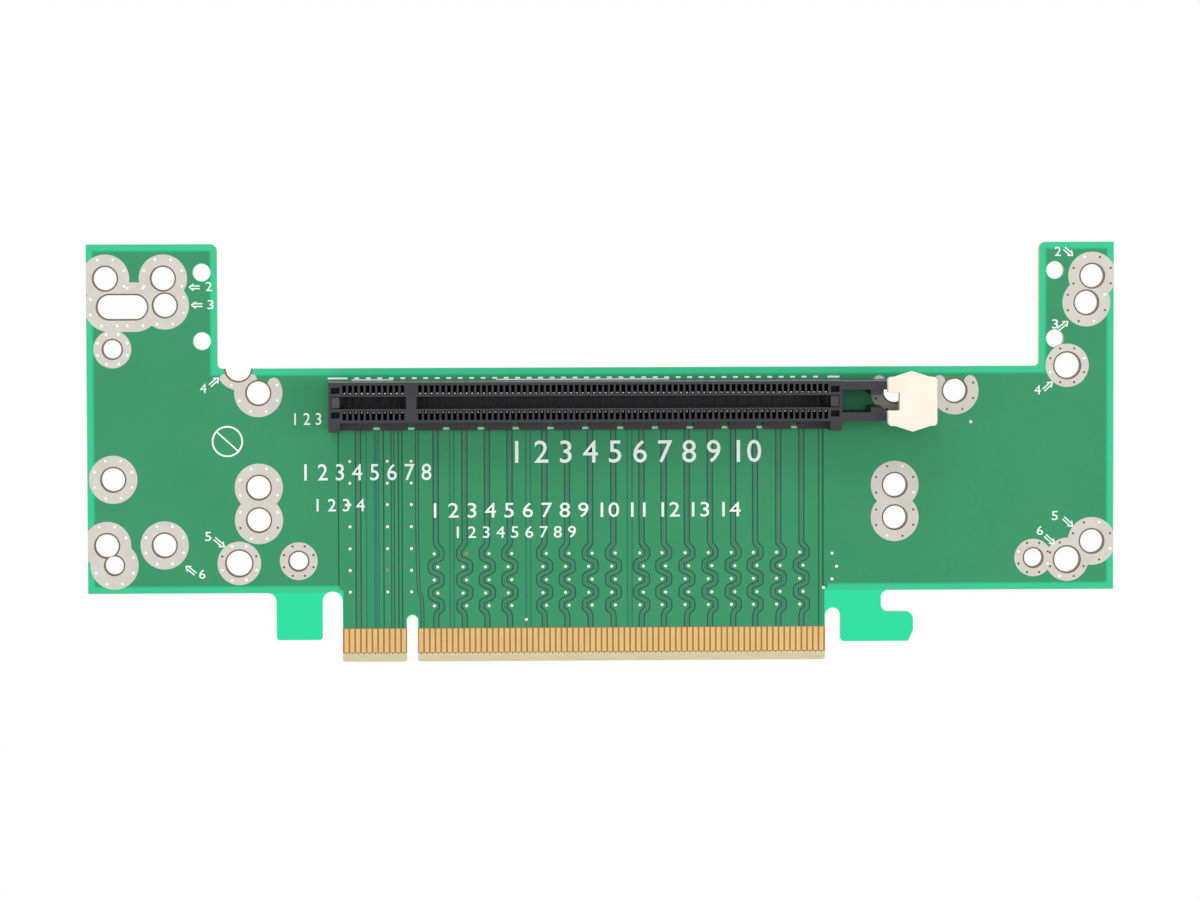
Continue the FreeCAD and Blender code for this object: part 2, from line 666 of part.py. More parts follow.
def make_lever():
    """Retention lever: press pad with grips, stem, kicker foot and pivot pins."""
    pivot_x = f"{MIDDLE_X} + {HOUSING_RIGHT} + Sizes.pivot_reach"
    body = new_body("latch_lever", pivot_x, f"{MIDDLE_Y} + {SLOT_Y}", f"{TOP_Z} + Sizes.pivot_height")
    pad_low = "(Sizes.housing_height - Sizes.pivot_height + Sizes.pad_lift)"
    left = "-Sizes.pad_inner"
    right = "Sizes.pad_outer"
    grip = "(Sizes.pad_outer - Sizes.pad_inner) / 2"
    grip_left = f"({grip} - Sizes.grip_half_length)"
    grip_right = f"({grip} + Sizes.grip_half_length)"
    wide = "Sizes.pad_half_width"
    peak = "(Sizes.pad_half_width + Sizes.grip_reach)"
    notch = "Sizes.card_notch_width / 2"
    notch_end = "(Sizes.card_notch_depth - Sizes.pad_inner)"
    outline = new_sketch(body, "pad_outline", "XY_Plane", pad_low)
    add_outline(outline, [
        (left, f"-{wide}"),
        (grip_left, f"-{wide}"),
        (f"({grip})", f"(-1 * {peak})"),
        (grip_right, f"-{wide}"),
        (right, f"-{wide}"),
        (right, wide),
        (grip_right, wide),
        (f"({grip})", peak),
        (grip_left, wide),
        (left, wide),
        (left, notch),
        (notch_end, notch),
        (notch_end, f"-{notch}"),
        (left, f"-{notch}"),
    ])
    pad = new_pad(body, "press_pad", outline, "Sizes.pad_thickness")
    corners = [upright_at(x, y) for x in (left, right) for y in (wide, f"-{wide}")]
    round_edges(body, "pad_rounds", pad, corners, "Sizes.pad_round")

    between_arms = "Sizes.arm_gap - 2 * Sizes.side_clearance"
    pad_middle = f"({pad_low} + Sizes.pad_thickness / 2)"
    kicker_low = "(Sizes.kicker_height - Sizes.kicker_tip)"
    stem = new_sketch(body, "stem_profile", "XZ_Plane")
    add_outline(stem, [
        ("Sizes.stem_inner", pad_middle),
        ("Sizes.stem_inner", "Sizes.kicker_height"),
        ("-Sizes.kicker_reach", "Sizes.kicker_height"),
        ("-Sizes.kicker_reach", kicker_low),
        ("-Sizes.sole_half_length", "-Sizes.sole_drop"),
        ("Sizes.sole_half_length", "-Sizes.sole_drop"),
        ("Sizes.stem_outer", "Sizes.heel_height"),
        ("Sizes.stem_outer", pad_middle),
    ])
    new_pad(body, "stem", stem, between_arms, symmetric=True)
    hub = new_sketch(body, "hub_circle", "XZ_Plane")
    add_circle(hub, "0", "0", "Sizes.hub_radius")
    new_pad(body, "hub", hub, between_arms, symmetric=True)
    pin = new_sketch(body, "pin_circle", "XZ_Plane")
    add_circle(pin, "0", "0", "Sizes.pin_radius")
    across = "Sizes.arm_gap + 2 * Sizes.arm_thickness - 2 * Sizes.side_clearance"
    new_pad(body, "pins", pin, across, symmetric=True)
    return body


pieces = [make_board()]
for face in ("front", "back"):
    for group in GROUPS:
        pieces.append(make_fingers(face, group))
pieces.append(make_housing())
for side_name, side in (("upper", "1"), ("lower", "-1")):
    for group in GROUPS:
        pieces.append(make_slot_contacts(side_name, side, group))
pieces.append(make_lever())
doc.recompute()

for item in doc.Objects:
    if "Invalid" in item.State or "Error" in item.State:
        raise RuntimeError(f"{item.Name} did not recompute: {item.State}")
for piece in pieces:
    if piece.Shape.isNull() or not piece.Shape.isValid():
        raise RuntimeError(f"{piece.Label} has no valid shape")

os.makedirs("parts", exist_ok=True)
for piece in pieces:
    piece.Shape.exportStep(f"parts/{piece.Label}.step")
    box = piece.Shape.BoundBox
    corners = (box.XMin, box.XMax, box.YMin, box.YMax, box.ZMin, box.ZMax)
    extents = ", ".join(f"{corner:.2f}" for corner in corners)
    print(f"{piece.Label}: {len(piece.Shape.Solids)} solids, box {extents}")
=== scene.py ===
# %% [markdown]
# # A riser card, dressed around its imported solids
#
# The card is a flat green circuit board with a long black slot on it. The solids of the board,
# the slot, the contacts and the lever come from the frame, at their real size. This lesson adds
# what a camera sees first: the solder mask over copper, the tinned rings round the holes, the
# gold, the tracks, the white print and the formed springs inside the slot.
#
# Every step has a few words on the real thing, and then a short cell of code.

import math

import bmesh
import bpy
from mathutils import Matrix, Vector, geometry


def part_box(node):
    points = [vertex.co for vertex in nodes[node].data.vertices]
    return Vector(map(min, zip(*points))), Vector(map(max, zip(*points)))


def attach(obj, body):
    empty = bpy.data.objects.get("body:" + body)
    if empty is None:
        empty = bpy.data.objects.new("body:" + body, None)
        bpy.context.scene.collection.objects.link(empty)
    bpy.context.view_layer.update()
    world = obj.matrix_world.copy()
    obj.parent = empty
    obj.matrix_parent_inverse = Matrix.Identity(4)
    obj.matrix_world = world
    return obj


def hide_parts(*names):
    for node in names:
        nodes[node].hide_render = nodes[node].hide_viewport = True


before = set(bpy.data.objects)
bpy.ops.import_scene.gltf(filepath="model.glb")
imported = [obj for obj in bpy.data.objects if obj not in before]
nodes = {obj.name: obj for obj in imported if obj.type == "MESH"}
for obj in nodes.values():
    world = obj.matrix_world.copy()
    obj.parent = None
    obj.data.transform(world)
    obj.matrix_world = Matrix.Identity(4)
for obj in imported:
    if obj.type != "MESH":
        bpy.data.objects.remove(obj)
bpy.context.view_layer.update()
MM = 0.001

# %% [markdown]
# ## Places on the card
#
# A card like this is drawn from one datum: the middle of the key notch in the tongue, and the
# long lower edge of the board. The two groups of gold fingers give the first, and the board's
# own rim gives the second, so no place has to be typed in twice. `spot` turns millimetres from
# that datum into metres of the scene.

# %% Datum and heights
board_low, board_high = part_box("circuit_board")
BACK, TOP = board_low.z, board_high.z
short_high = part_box("edge_contacts_front_short")[1]
long_low, long_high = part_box("edge_contacts_front_long")
HOUSING_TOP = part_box("slot_housing")[1].z
KEY_X = (short_high.x + long_low.x) / 2
TONGUE_DROP = 12.15
EDGE_Y = board_low.y + TONGUE_DROP * MM


def spot(x, y):
    """Card millimetres to scene metres, in the plane of the board."""
    return Vector((KEY_X + x * MM, EDGE_Y + y * MM))


def card_mm(point):
    """Scene metres back to card millimetres."""
    return Vector(((point[0] - KEY_X) / MM, (point[1] - EDGE_Y) / MM))


LEFT, RIGHT = card_mm(board_low).x, card_mm(board_high).x
EAR_TOP = card_mm(board_high).y
TONGUE_LEFT, TONGUE_RIGHT = -12.15, 72.15
FINGER_LOW, FINGER_HIGH = card_mm(long_low).y, card_mm(long_high).y
print("board x", round(LEFT, 2), round(RIGHT, 2), "ears up to", round(EAR_TOP, 2), "mm")

# %% [markdown]
# The contacts repeat every millimetre, on the tongue and in the slot: eleven of them before the
# key notch and seventy-one after it. The same two groups give the fingers' plating stubs, the
# springs and the solder joints, so they are written once.

# %% Contact groups
FINGER_PITCH = 1.0
FINGER_GROUPS = (("short", -11.5, 11), ("long", 1.5, 71))


def group_places(first, count):
    """Card X of every contact of a group."""
    return [first + index * FINGER_PITCH for index in range(count)]


print("contacts in a row:", sum(count for _, _, count in FINGER_GROUPS))

# %% [markdown]
# ## Shader maths that reads like sums
#
# A procedural material is a small network of nodes. Wiring it by hand takes five lines for one
# sum, so `Wire` wraps a socket and overloads the operators: `1 - mask * 0.5` then adds the two
# Math nodes by itself. Every other node comes from the one method `Finish.node`.

# %% Wire and Finish
class Wire:
    """A socket of a node tree that takes part in sums."""

    def __init__(self, finish, socket):
        self.finish = finish
        self.socket = socket

    def maths(self, operation, first, second):
        return self.finish.node("ShaderNodeMath", {"operation": operation}, {0: first, 1: second})

    def __add__(self, other):
        return self.maths("ADD", self, other)

    def __sub__(self, other):
        return self.maths("SUBTRACT", self, other)

    def __rsub__(self, other):
        return self.maths("SUBTRACT", other, self)

    def __mul__(self, other):
        return self.maths("MULTIPLY", self, other)

    def __gt__(self, other):
        return self.maths("GREATER_THAN", self, other)

    def __lt__(self, other):
        return self.maths("LESS_THAN", self, other)

    def least(self, other):
        return self.maths("MINIMUM", self, other)

    def most(self, other):
        return self.maths("MAXIMUM", self, other)

    __radd__ = __add__
    __rmul__ = __mul__


class Finish:
    """A material with one Principled shader, built by short expressions."""

    def __init__(self, name, **constants):
        self.material = bpy.data.materials.new(name)
        self.material.use_nodes = True
        self.tree = self.material.node_tree
        self.shader = self.tree.nodes["Principled BSDF"]
        for socket, number in constants.items():
            self.shader.inputs[socket.replace("_", " ")].default_value = number

    def node(self, kind, settings=None, sockets=None, out=0):
        made = self.tree.nodes.new(kind)
        for name, setting in (settings or {}).items():
            setattr(made, name, setting)
        for key, given in (sockets or {}).items():
            if isinstance(given, Wire):
                self.tree.links.new(given.socket, made.inputs[key])
            else:
                made.inputs[key].default_value = given
        return Wire(self, made.outputs[out])

    def place(self):
        """Object coordinates as a vector."""
        return self.node("ShaderNodeTexCoord", out="Object")

    def axes(self):
        """Object coordinates as three numbers."""
        parts = self.node("ShaderNodeSeparateXYZ", sockets={0: self.place()}).socket.node
        return [Wire(self, socket) for socket in parts.outputs]

    def grain(self, size, detail=2.0, stretch=(1, 1, 1)):
        """Noise whose spots are about `size` metres wide."""
        moved = self.node("ShaderNodeMapping", sockets={0: self.place(), 3: [s / size for s in stretch]})
        return self.node("ShaderNodeTexNoise", sockets={"Vector": moved, "Scale": 1.0, "Detail": detail})

    def mix(self, factor, first, second):
        """Colour between two colours."""
        sockets = {0: factor, 6: first, 7: second}
        return self.node("ShaderNodeMix", {"data_type": "RGBA"}, sockets, out=2)

    def feed(self, **wires):
        """Link wires to the shader's own sockets."""
        for socket, wire in wires.items():
            self.tree.links.new(wire.socket, self.shader.inputs[socket.replace("_", " ")])

    def bump(self, height, distance, strength=1.0):
        """Fine relief on the surface."""
        sockets = {"Height": height, "Distance": distance, "Strength": strength}
        self.feed(Normal=self.node("ShaderNodeBump", sockets=sockets))

    def cover(self, node):
        """Make this the only finish of a node of the frame."""
        node.data.materials.clear()
        node.data.materials.append(self.material)

    def tell(self):
        """Print how large the network is."""
        print(self.material.name, "has", len(self.tree.nodes), "nodes")


def shade(red, green, blue):
    """A screen colour from 0 to 255 as the linear colour that a shader takes."""
    def linear(part):
        part = part / 255
        return part / 12.92 if part <= 0.04045 else ((part + 0.055) / 1.055) ** 2.4
    return (linear(red), linear(green), linear(blue), 1.0)


# %% [markdown]
# ## Bench, light and camera
#
# The card lies on a plain white bench. The key lamp stands on the ear side, which is why the
# slot's shadow falls towards the tongue, and a low, wide one behind it lights the rims. Two more
# light the card's two ends. A fill lamp straight above brings light into the slot: it is kept out
# of reflections, because it would lie on the varnish as a grey haze. The bench shows white to the
# camera and in reflections, and still keeps the shadow.

# %% Bench
BENCH_HALF = 3.0
BENCH_GLOW = 0.95
bench_mesh = bmesh.new()
bmesh.ops.create_grid(bench_mesh, x_segments=1, y_segments=1, size=BENCH_HALF)
bench_data = bpy.data.meshes.new("bench")
bench_mesh.to_mesh(bench_data)
bench_mesh.free()
bench = bpy.data.objects.new("bench", bench_data)
bpy.context.scene.collection.objects.link(bench)
paper = Finish("white_bench", Roughness=0.9)
paper.feed(Base_Color=paper.mix(paper.grain(0.4), shade(244, 244, 244), shade(248, 248, 248)))
lit = Wire(paper, paper.shader.outputs[0])
glow = paper.node("ShaderNodeEmission", sockets={"Color": (1, 1, 1, 1), "Strength": 1.0})
rays = paper.node("ShaderNodeLightPath").socket.node.outputs
seen = Wire(paper, rays["Is Camera Ray"]) + Wire(paper, rays["Is Glossy Ray"])
seen = seen + Wire(paper, rays["Is Transmission Ray"])
shown = paper.node("ShaderNodeMixShader", sockets={0: seen * BENCH_GLOW, 1: lit, 2: glow})
paper.tree.links.new(shown.socket, paper.tree.nodes["Material Output"].inputs["Surface"])
bench.data.materials.append(paper.material)
print("bench", BENCH_HALF * 2, "m wide")

# %% Lights and world
WORLD_LIGHT = 0.55
world = bpy.data.worlds.new("studio")
world.use_nodes = True
sky = world.node_tree.nodes["Background"].inputs
sky["Color"].default_value = (1, 1, 1, 1)
sky["Strength"].default_value = WORLD_LIGHT
bpy.context.scene.world = world


def lamp(name, place, size, power):
    """Square area light that looks at the card's middle."""
    data = bpy.data.lights.new(name, "AREA")
    data.size = size
    data.energy = power
    made = bpy.data.objects.new(name, data)
    made.location = place
    made.rotation_euler = (-Vector(place)).to_track_quat("-Z", "Y").to_euler()
    bpy.context.scene.collection.objects.link(made)
    print("lamp", name, power, "W")
    return made


lamp("key", (-0.25, 0.85, 1.0), 0.5, 2.75)
lamp("left", (-0.72, 0.0, 1.1), 0.35, 1.5)
lamp("right", (0.74, 0.0, 1.1), 0.35, 2.4)
fill = lamp("fill", (0.0, 0.08, 1.1), 0.3, 3.1)
fill.visible_glossy = False
lamp("rim", (0.0, 1.1, 0.35), 0.6, 2.0)
bpy.context.scene.view_settings.view_transform = "Standard"

# %% [markdown]
# The camera stands almost straight above the card with a long lens, a little to the left of its
# middle and towards the ears. It is aimed by two points: where it stands and where it looks. A
# tiny roll sets how level the board lies in the picture.

# %% Camera
CAMERA_AT = Vector((-29.37, 43.39, 873.4)) * MM
LOOKS_AT = Vector((-0.26, 0.28, 0.0)) * MM
ROLL = math.radians(0.15)
camera_data = bpy.data.cameras.new("camera")
camera_data.lens = 150
camera_data.sensor_width = 36
camera_data.sensor_fit = "HORIZONTAL"
camera = bpy.data.objects.new("camera", camera_data)
bpy.context.scene.collection.objects.link(camera)
ahead = (LOOKS_AT - CAMERA_AT).normalized()
across = ahead.cross(Vector((math.sin(ROLL), math.cos(ROLL), 0))).normalized()
upward = across.cross(ahead)
turn = Matrix((across, upward, -ahead)).transposed()
camera.matrix_world = Matrix.Translation(CAMERA_AT) @ turn.to_4x4()
bpy.context.scene.camera = camera
print("camera", round(CAMERA_AT.length, 3), "m from the card")

# %% [markdown]
# ## Solder mask and bare laminate
#
# The board is woven glass in resin, with green varnish on both faces. Where there is no copper
# under the varnish, light comes through and the green is bright, so the board gets that colour
# and the copper areas are laid on it later as a thin layer of their own. The edges were cut by a
# router, and show the cream laminate with its layers. The tongue carries no varnish, and between
# its fingers the laminate is painted golden brown: painted shade, tinted by the gold on both sides.
# One material does all of this: places on the board pick the colour, so no face needs a material
# of its own. `SKIN` is the depth that still counts as the face, and `SINK` is how deep things laid
# on the board reach into it.

# %% Board finish
varnish = Finish("mask_over_laminate", Roughness=0.32, Coat_Weight=0.1, Coat_Roughness=0.15)
along, updown, height = varnish.axes()
THREAD_SCALE = 900.0


def threads(direction):
    """Glass threads that run one way."""
    sockets = {"Vector": varnish.place(), "Scale": THREAD_SCALE, "Distortion": 1.5}
    return varnish.node("ShaderNodeTexWave", {"bands_direction": direction}, sockets)


glass = (threads("X") + threads("Y")) * 0.5
mottle = varnish.grain(6 * MM)
bright_green = varnish.mix(glass * 0.3 + mottle * 0.4, shade(10, 211, 149), shade(28, 221, 161))
border_green = varnish.mix(glass * 0.3 + mottle * 0.4, shade(42, 188, 134), shade(56, 198, 146))
SKIN = 0.02 * MM
SINK = SKIN / 4
FINGER_MARGIN, SIDE_MARGIN = 0.12, 0.1
on_face = (height > TOP - SKIN) + (height < BACK + SKIN)
layers = varnish.grain(0.35 * MM, stretch=(0.1, 0.1, 3.0))
cream = varnish.mix(layers, shade(198, 186, 142), shade(222, 212, 176))
# gold_shadow is painted shade tinted by the gold, laid on the laminate between the fingers.
gold_shadow = varnish.mix(layers, shade(150, 102, 42), shade(172, 120, 58))
below_fingers = spot(0, FINGER_LOW - FINGER_MARGIN).y
above_fingers = spot(0, FINGER_HIGH + FINGER_MARGIN).y
past_left, past_right = spot(TONGUE_LEFT - SIDE_MARGIN, 0).x, spot(TONGUE_RIGHT + SIDE_MARGIN, 0).x
tongue = (updown < above_fingers) * (along > past_left) * (along < past_right)
tongue_colour = varnish.mix(updown > below_fingers, cream, gold_shadow)
mask_green = varnish.mix(updown > EDGE_Y, bright_green, border_green)
face_colour = varnish.mix(tongue, mask_green, tongue_colour)
varnish.feed(Base_Color=varnish.mix(on_face, cream, face_colour))
varnish.feed(Roughness=0.62 - on_face * 0.26 + mottle * 0.06)
varnish.bump(glass * 0.6 + layers * (1 - on_face) * 1.5, 0.01 * MM, 0.6)
varnish.cover(nodes["circuit_board"])
varnish.tell()

# %% [markdown]
# ## Stencils
#
# Copper, tin and ink are all flat areas with a clear outline, so they can be cut like stencils.
# A boolean on solids would work, but it is slow and fussy with thin sheets. Here the outlines are
# drawn in the plane, a constrained triangulation splits the plane along all of them, and a rule
# says which pieces are kept. Extruding the kept pieces gives a thin slab with real walls.

# %% Outlines
def disc(centre, radius, steps=56, start=0.0, sweep=math.tau):
    """Points on a circle or on part of one, in card millimetres."""
    count = steps if sweep == math.tau else steps + 1
    angles = [start + sweep * index / steps for index in range(count)]
    return [(centre[0] + radius * math.cos(a), centre[1] + radius * math.sin(a)) for a in angles]


def block(left, low, right, high):
    """Rectangle in card millimetres."""
    return [(left, low), (right, low), (right, high), (left, high)]


def turned(loop, angle, centre):
    """Loop turned about the origin, then moved to a centre."""
    sine, cosine = math.sin(angle), math.cos(angle)
    return [(centre[0] + x * cosine - y * sine, centre[1] + x * sine + y * cosine) for x, y in loop]


# %% Stencil
TRIANGLES_INSIDE, WELD = 1, 1e-5
STRAIGHT = math.radians(1)


def stencil(shapes, keep):
    """Flat bmesh of the plane where keep(kinds that cover it) is true. A shape is (kind, loop)."""
    points, faces = [], []
    for _, loop in shapes:
        signed = sum(a[0] * b[1] - b[0] * a[1] for a, b in zip(loop, loop[1:] + loop[:1]))
        ordered = loop if signed > 0 else loop[::-1]
        faces.append(list(range(len(points), len(points) + len(ordered))))
        points += [Vector(point) for point in ordered]
    split = geometry.delaunay_2d_cdt(points, [], faces, TRIANGLES_INSIDE, WELD)
    spread, _, triangles, _, _, covers = split
    flat = bmesh.new()
    corners = {}
    for triangle, cover in zip(triangles, covers):
        if not keep({shapes[index][0] for index in cover}):
            continue
        for index in triangle:
            if index not in corners:
                corners[index] = flat.verts.new((*spot(*spread[index]), 0))
        flat.faces.new([corners[index] for index in triangle])
    bmesh.ops.dissolve_limit(flat, angle_limit=STRAIGHT, verts=flat.verts, edges=flat.edges)
    return flat


# %% [markdown]
# A slab is a stencil with a height. Its rim is rounded with one bevel segment, because each
# segment more tilts the smoothed face beside it and would show as a streak in the gloss.
#
# `piece` makes the object from a bmesh. It smooths only what turns gently, so thin slabs keep
# their flat faces, and it names the body that carries the piece and gives the piece its finish.

# %% Slabs and pieces
STEEP = math.radians(57)


def outward(mesh):
    """The same mesh with all its faces turned outward."""
    bmesh.ops.recalc_face_normals(mesh, faces=mesh.faces)
    return mesh


def rounded(mesh, edges, offset, segments):
    """Bevel some edges of a mesh."""
    bmesh.ops.bevel(
        mesh, geom=edges, offset=offset, segments=segments, profile=0.5, affect="EDGES", material=-1,
        clamp_overlap=True
    )


def thicken(flat, low, high, soft=0.0, facing=1):
    """Slab between two heights; soft rounds the rim of the face on the facing side."""
    walls = bmesh.ops.extrude_face_region(flat, geom=flat.faces[:])
    lifted = {item for item in walls["geom"] if isinstance(item, bmesh.types.BMVert)}
    for vert in flat.verts:
        vert.co.z = high if vert in lifted else low
    outward(flat)
    if soft:
        level = high if facing > 0 else low
        rim = [
            edge for edge in flat.edges
            if all(abs(v.co.z - level) < SKIN / 100 for v in edge.verts) and edge.calc_face_angle(0) > STEEP
        ]
        rounded(flat, rim, soft, 1)
    return flat


def piece(name, mesh, finish, body="card", smooth=18, replaces=()):
    """Object from a bmesh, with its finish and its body."""
    data = bpy.data.meshes.new(name)
    mesh.to_mesh(data)
    mesh.free()
    data.shade_smooth()
    data.set_sharp_from_angle(angle=math.radians(smooth))
    made = bpy.data.objects.new(name, data)
    bpy.context.scene.collection.objects.link(made)
    made.data.materials.append(finish.material)
    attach(made, body)
    if replaces:
        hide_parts(*replaces)
    print(f"{name}: {len(data.polygons)} faces")
    return made


# %% [markdown]
# ## Reading the drill plan from the board
#
# The holes are already in the solid, so their places are read from it: the rims of the flat top
# face are walked edge by edge, and a rim whose points all lie at one distance from its middle is
# a round hole. The longest rim is the board's outline.

# %% Rims of the top face
ROUND_POINTS, ROUNDNESS = 12, 0.97


def rims(node, level):
    """Closed rims of the flat face at one height, in card millimetres."""
    mesh = bmesh.new()
    mesh.from_mesh(node.data)
    bmesh.ops.remove_doubles(mesh, verts=mesh.verts, dist=SKIN / 10)
    flat = {face for face in mesh.faces if all(abs(v.co.z - level) < SKIN for v in face.verts)}
    after = {}
    for edge in mesh.edges:
        if sum(face in flat for face in edge.link_faces) == 1:
            for vert in edge.verts:
                after.setdefault(vert, []).append(edge.other_vert(vert))
    loops = []
    unused = set(after)
    while unused:
        vert = min(unused, key=lambda item: item.index)
        loop = []
        while vert in unused:
            unused.remove(vert)
            loop.append(card_mm(vert.co))
            vert = next((other for other in after[vert] if other in unused), vert)
        loops.append(loop)
    mesh.free()
    return loops


def length_along(loop):
    """Length of a loop along the card."""
    return max(p.x for p in loop) - min(p.x for p in loop)


rim_loops = rims(nodes["circuit_board"], TOP)
outline = [tuple(p) for p in max(rim_loops, key=length_along)]
drilled = []
for loop in rim_loops:
    middle = sum(loop, Vector((0, 0))) / len(loop)
    reach = [(p - middle).length for p in loop]
    if len(loop) > ROUND_POINTS and min(reach) > ROUNDNESS * max(reach):
        drilled.append((middle, max(reach)))
print(len(rim_loops), "rims,", len(drilled), "round holes, outline of", len(outline), "points")

# %% [markdown]
# Most holes are tinned and have a ring of solder, whose width goes with the hole. Four locating
# holes are bare. Three holes aren't round rims: one is cut by the recess, and two overlap. They
# are listed one by one, and so is the oblong hole in the left ear.

# %% Tinned and bare holes
BARE_RADIUS, DRILL_PLAY = 1.55, 0.05
WIDE, NEAR, SMALL = 2.1, 2.3, 1.68
RING_FOR = {WIDE: 4.2, NEAR: 3.8, SMALL: 3.3}
RECESS_HOLE = (Vector((-30.1, 39.22)), NEAR, RING_FOR[NEAR])
PAIR = [(Vector((-53.05, 8.38)), WIDE, RING_FOR[WIDE]), (Vector((-51.78, 4.94)), SMALL, RING_FOR[WIDE])]
OBLONG_Y, OBLONG_START, OBLONG_END, OBLONG_RADIUS = 49.92, LEFT + 4.0, LEFT + 8.5, 2.15


def stadium(radius):
    """Outline of the oblong hole, made wider or narrower by its radius."""
    right = disc((OBLONG_END, OBLONG_Y), radius, 28, -math.pi / 2, math.pi)
    left = disc((OBLONG_START, OBLONG_Y), radius, 28, math.pi / 2, math.pi)
    return right + left


bare_holes = [hole for hole in drilled if abs(hole[1] - BARE_RADIUS) < DRILL_PLAY]
all_holes = PAIR + [RECESS_HOLE]
for middle, radius in drilled:
    if (middle, radius) not in bare_holes:
        size = min(RING_FOR, key=lambda known: abs(known - radius))
        all_holes.append((middle, radius, RING_FOR[size]))
print(len(bare_holes), "bare holes,", len(all_holes), "tinned ones")

# %% [markdown]
# ## Copper under the mask
#
# Copper stops nearly a millimetre short of the routed edge, so that the router never tears it. The
# field is the board's plan drawn in by that border: the long body, the two ears and the tongue.
# It is cut back round the bare locating holes. Its colour is a duller, darker green, because the
# copper under the varnish lets no light through, and it is a little uneven.

# %% Copper areas
BORDER = 0.85
RECESS = 39.15
EAR_LEFT, EAR_RIGHT = LEFT + 22.7, RIGHT - 13.1
EAR_FOOT, TONGUE_HEAD = RECESS - 3.0, 3.0
TONGUE_INSET, FINGER_GAP = 0.12, 0.1
SHOULDER_LEFT, SHOULDER_RIGHT, SHOULDER_LOW = TONGUE_LEFT - 0.8, TONGUE_RIGHT + 0.6, 0.5
KEY_HALF, KEY_TOP, KEY_CLEAR = 0.95, -4.0, 0.15
FIELD_THICK = 0.015 * MM
LINING = 0.05
LIP = 0.2


def field_shapes():
    """Copper areas and what is cut from them."""
    key_reach, key_round = KEY_HALF + KEY_CLEAR, KEY_TOP - KEY_HALF
    shapes = [
        ("copper", block(LEFT + BORDER, BORDER, RIGHT - BORDER, RECESS - BORDER)),
        ("copper", block(LEFT + BORDER, EAR_FOOT, EAR_LEFT - BORDER, EAR_TOP - BORDER)),
        ("copper", block(EAR_RIGHT + BORDER, EAR_FOOT, RIGHT - BORDER, EAR_TOP - BORDER)),
        ("copper", block(TONGUE_LEFT + TONGUE_INSET, FINGER_HIGH + FINGER_GAP,
                         TONGUE_RIGHT - TONGUE_INSET, TONGUE_HEAD)),
        ("copper", block(SHOULDER_LEFT, SHOULDER_LOW, SHOULDER_RIGHT, TONGUE_HEAD)),
        ("cut", block(-key_reach, -TONGUE_DROP, key_reach, key_round)),
        ("cut", disc((0, key_round), key_reach)),
    ]
    shapes += [("cut", disc(middle, radius + LINING)) for middle, radius in bare_holes]
    shapes += [("cut", disc(middle, radius + LIP / 2)) for middle, radius, _ in all_holes]
    shapes.append(("cut", stadium(OBLONG_RADIUS + LIP / 2)))
    shapes.append(("board", outline))
    return shapes


print("copper areas and cuts:", len(field_shapes()))

# %% [markdown]
# Near its rim the varnish thins out over the copper's edge, so the dull green fades into the
# bright border. The distance from the rim of four rectangles gives that fade. Object coordinates
# measure it, so the fade is the same on both faces.

# %% Field finish
MASK_GLOSS = {"Coat_Weight": 0.1, "Coat_Roughness": 0.15, "Specular_IOR_Level": 0.4}
FADE = 0.55 * MM
FADE_LEFT, FADE_RIGHT = TONGUE_LEFT - 0.9, TONGUE_RIGHT + 0.8
masked = Finish("mask_over_copper", Roughness=0.3, **MASK_GLOSS)
cloud = masked.grain(9 * MM, 3.0)
speckle = masked.grain(0.5 * MM, 2.0, (1, 0.35, 1))
along, updown, _ = masked.axes()


def depth_in(left, low, right, high):
    """Distance in metres from the nearest side of a rectangle, positive inside it."""
    near, far = spot(left, low), spot(right, high)
    sideways = (along - near.x).least(far.x - along)
    return sideways.least((updown - near.y).least(far.y - updown))


inward = depth_in(LEFT + BORDER, BORDER, RIGHT - BORDER, RECESS - BORDER)
inward = inward.most(depth_in(LEFT + BORDER, EAR_FOOT, EAR_LEFT - BORDER, EAR_TOP - BORDER))
inward = inward.most(depth_in(EAR_RIGHT + BORDER, EAR_FOOT, RIGHT - BORDER, EAR_TOP - BORDER))
inward = inward.most(depth_in(FADE_LEFT, -TONGUE_DROP, FADE_RIGHT, TONGUE_HEAD))
dull_green = masked.mix(cloud, shade(42, 140, 92), shade(54, 150, 102))
grained_green = masked.mix(speckle * 0.4, dull_green, shade(40, 130, 86))
masked.feed(Base_Color=masked.mix(inward * (1 / FADE), shade(18, 206, 146), grained_green))
masked.feed(Roughness=0.3 + speckle * 0.14)
masked.bump(speckle + cloud * 0.5, 0.012 * MM, 0.5)
masked.tell()

# %% Copper field
FIELD_SOFT = 0.006 * MM


def field(name, low, high, facing):
    """Copper field of one face of the board."""
    flat = stencil(field_shapes(), lambda kinds: {"copper", "board"} <= kinds and "cut" not in kinds)
    return piece(name, thicken(flat, low, high, FIELD_SOFT, facing), masked)


field("copper_field_front", TOP, TOP + FIELD_THICK, 1)
field("copper_field_back", BACK - FIELD_THICK, BACK, -1)

# %% [markdown]
# ## Tinned rings
#
# Each fixing hole has a ring of copper without varnish, dipped in solder. Rings that meet flow
# into one another, and the board's edge cuts some of them. Three rings near the recess are open
# at the top, with round ends, and the hole that the recess cuts has a ring only below. The ring's
# width goes with the size of the hole. Solder is not flat: it is thickest in the middle of the
# ring, so the rim is rounded and the face has soft waves.

# %% Tin finish
tin = Finish("tinned_copper", Metallic=0.12, Roughness=0.5)
ripple = tin.grain(0.9 * MM, 3.0)
patch = tin.grain(3.5 * MM, 2.0)
tin.feed(Base_Color=tin.mix(patch * 0.7 + ripple * 0.3, shade(194, 190, 180), shade(220, 216, 207)))
tin.feed(Roughness=0.42 + ripple * 0.2)
tin.bump(ripple + patch, 0.02 * MM, 0.5)
tin.tell()

# %% [markdown]
# A ring is a disc without its hole, and an open ring also has a slice cut out between two
# angles. A small disc at each end of the cut makes that end round.

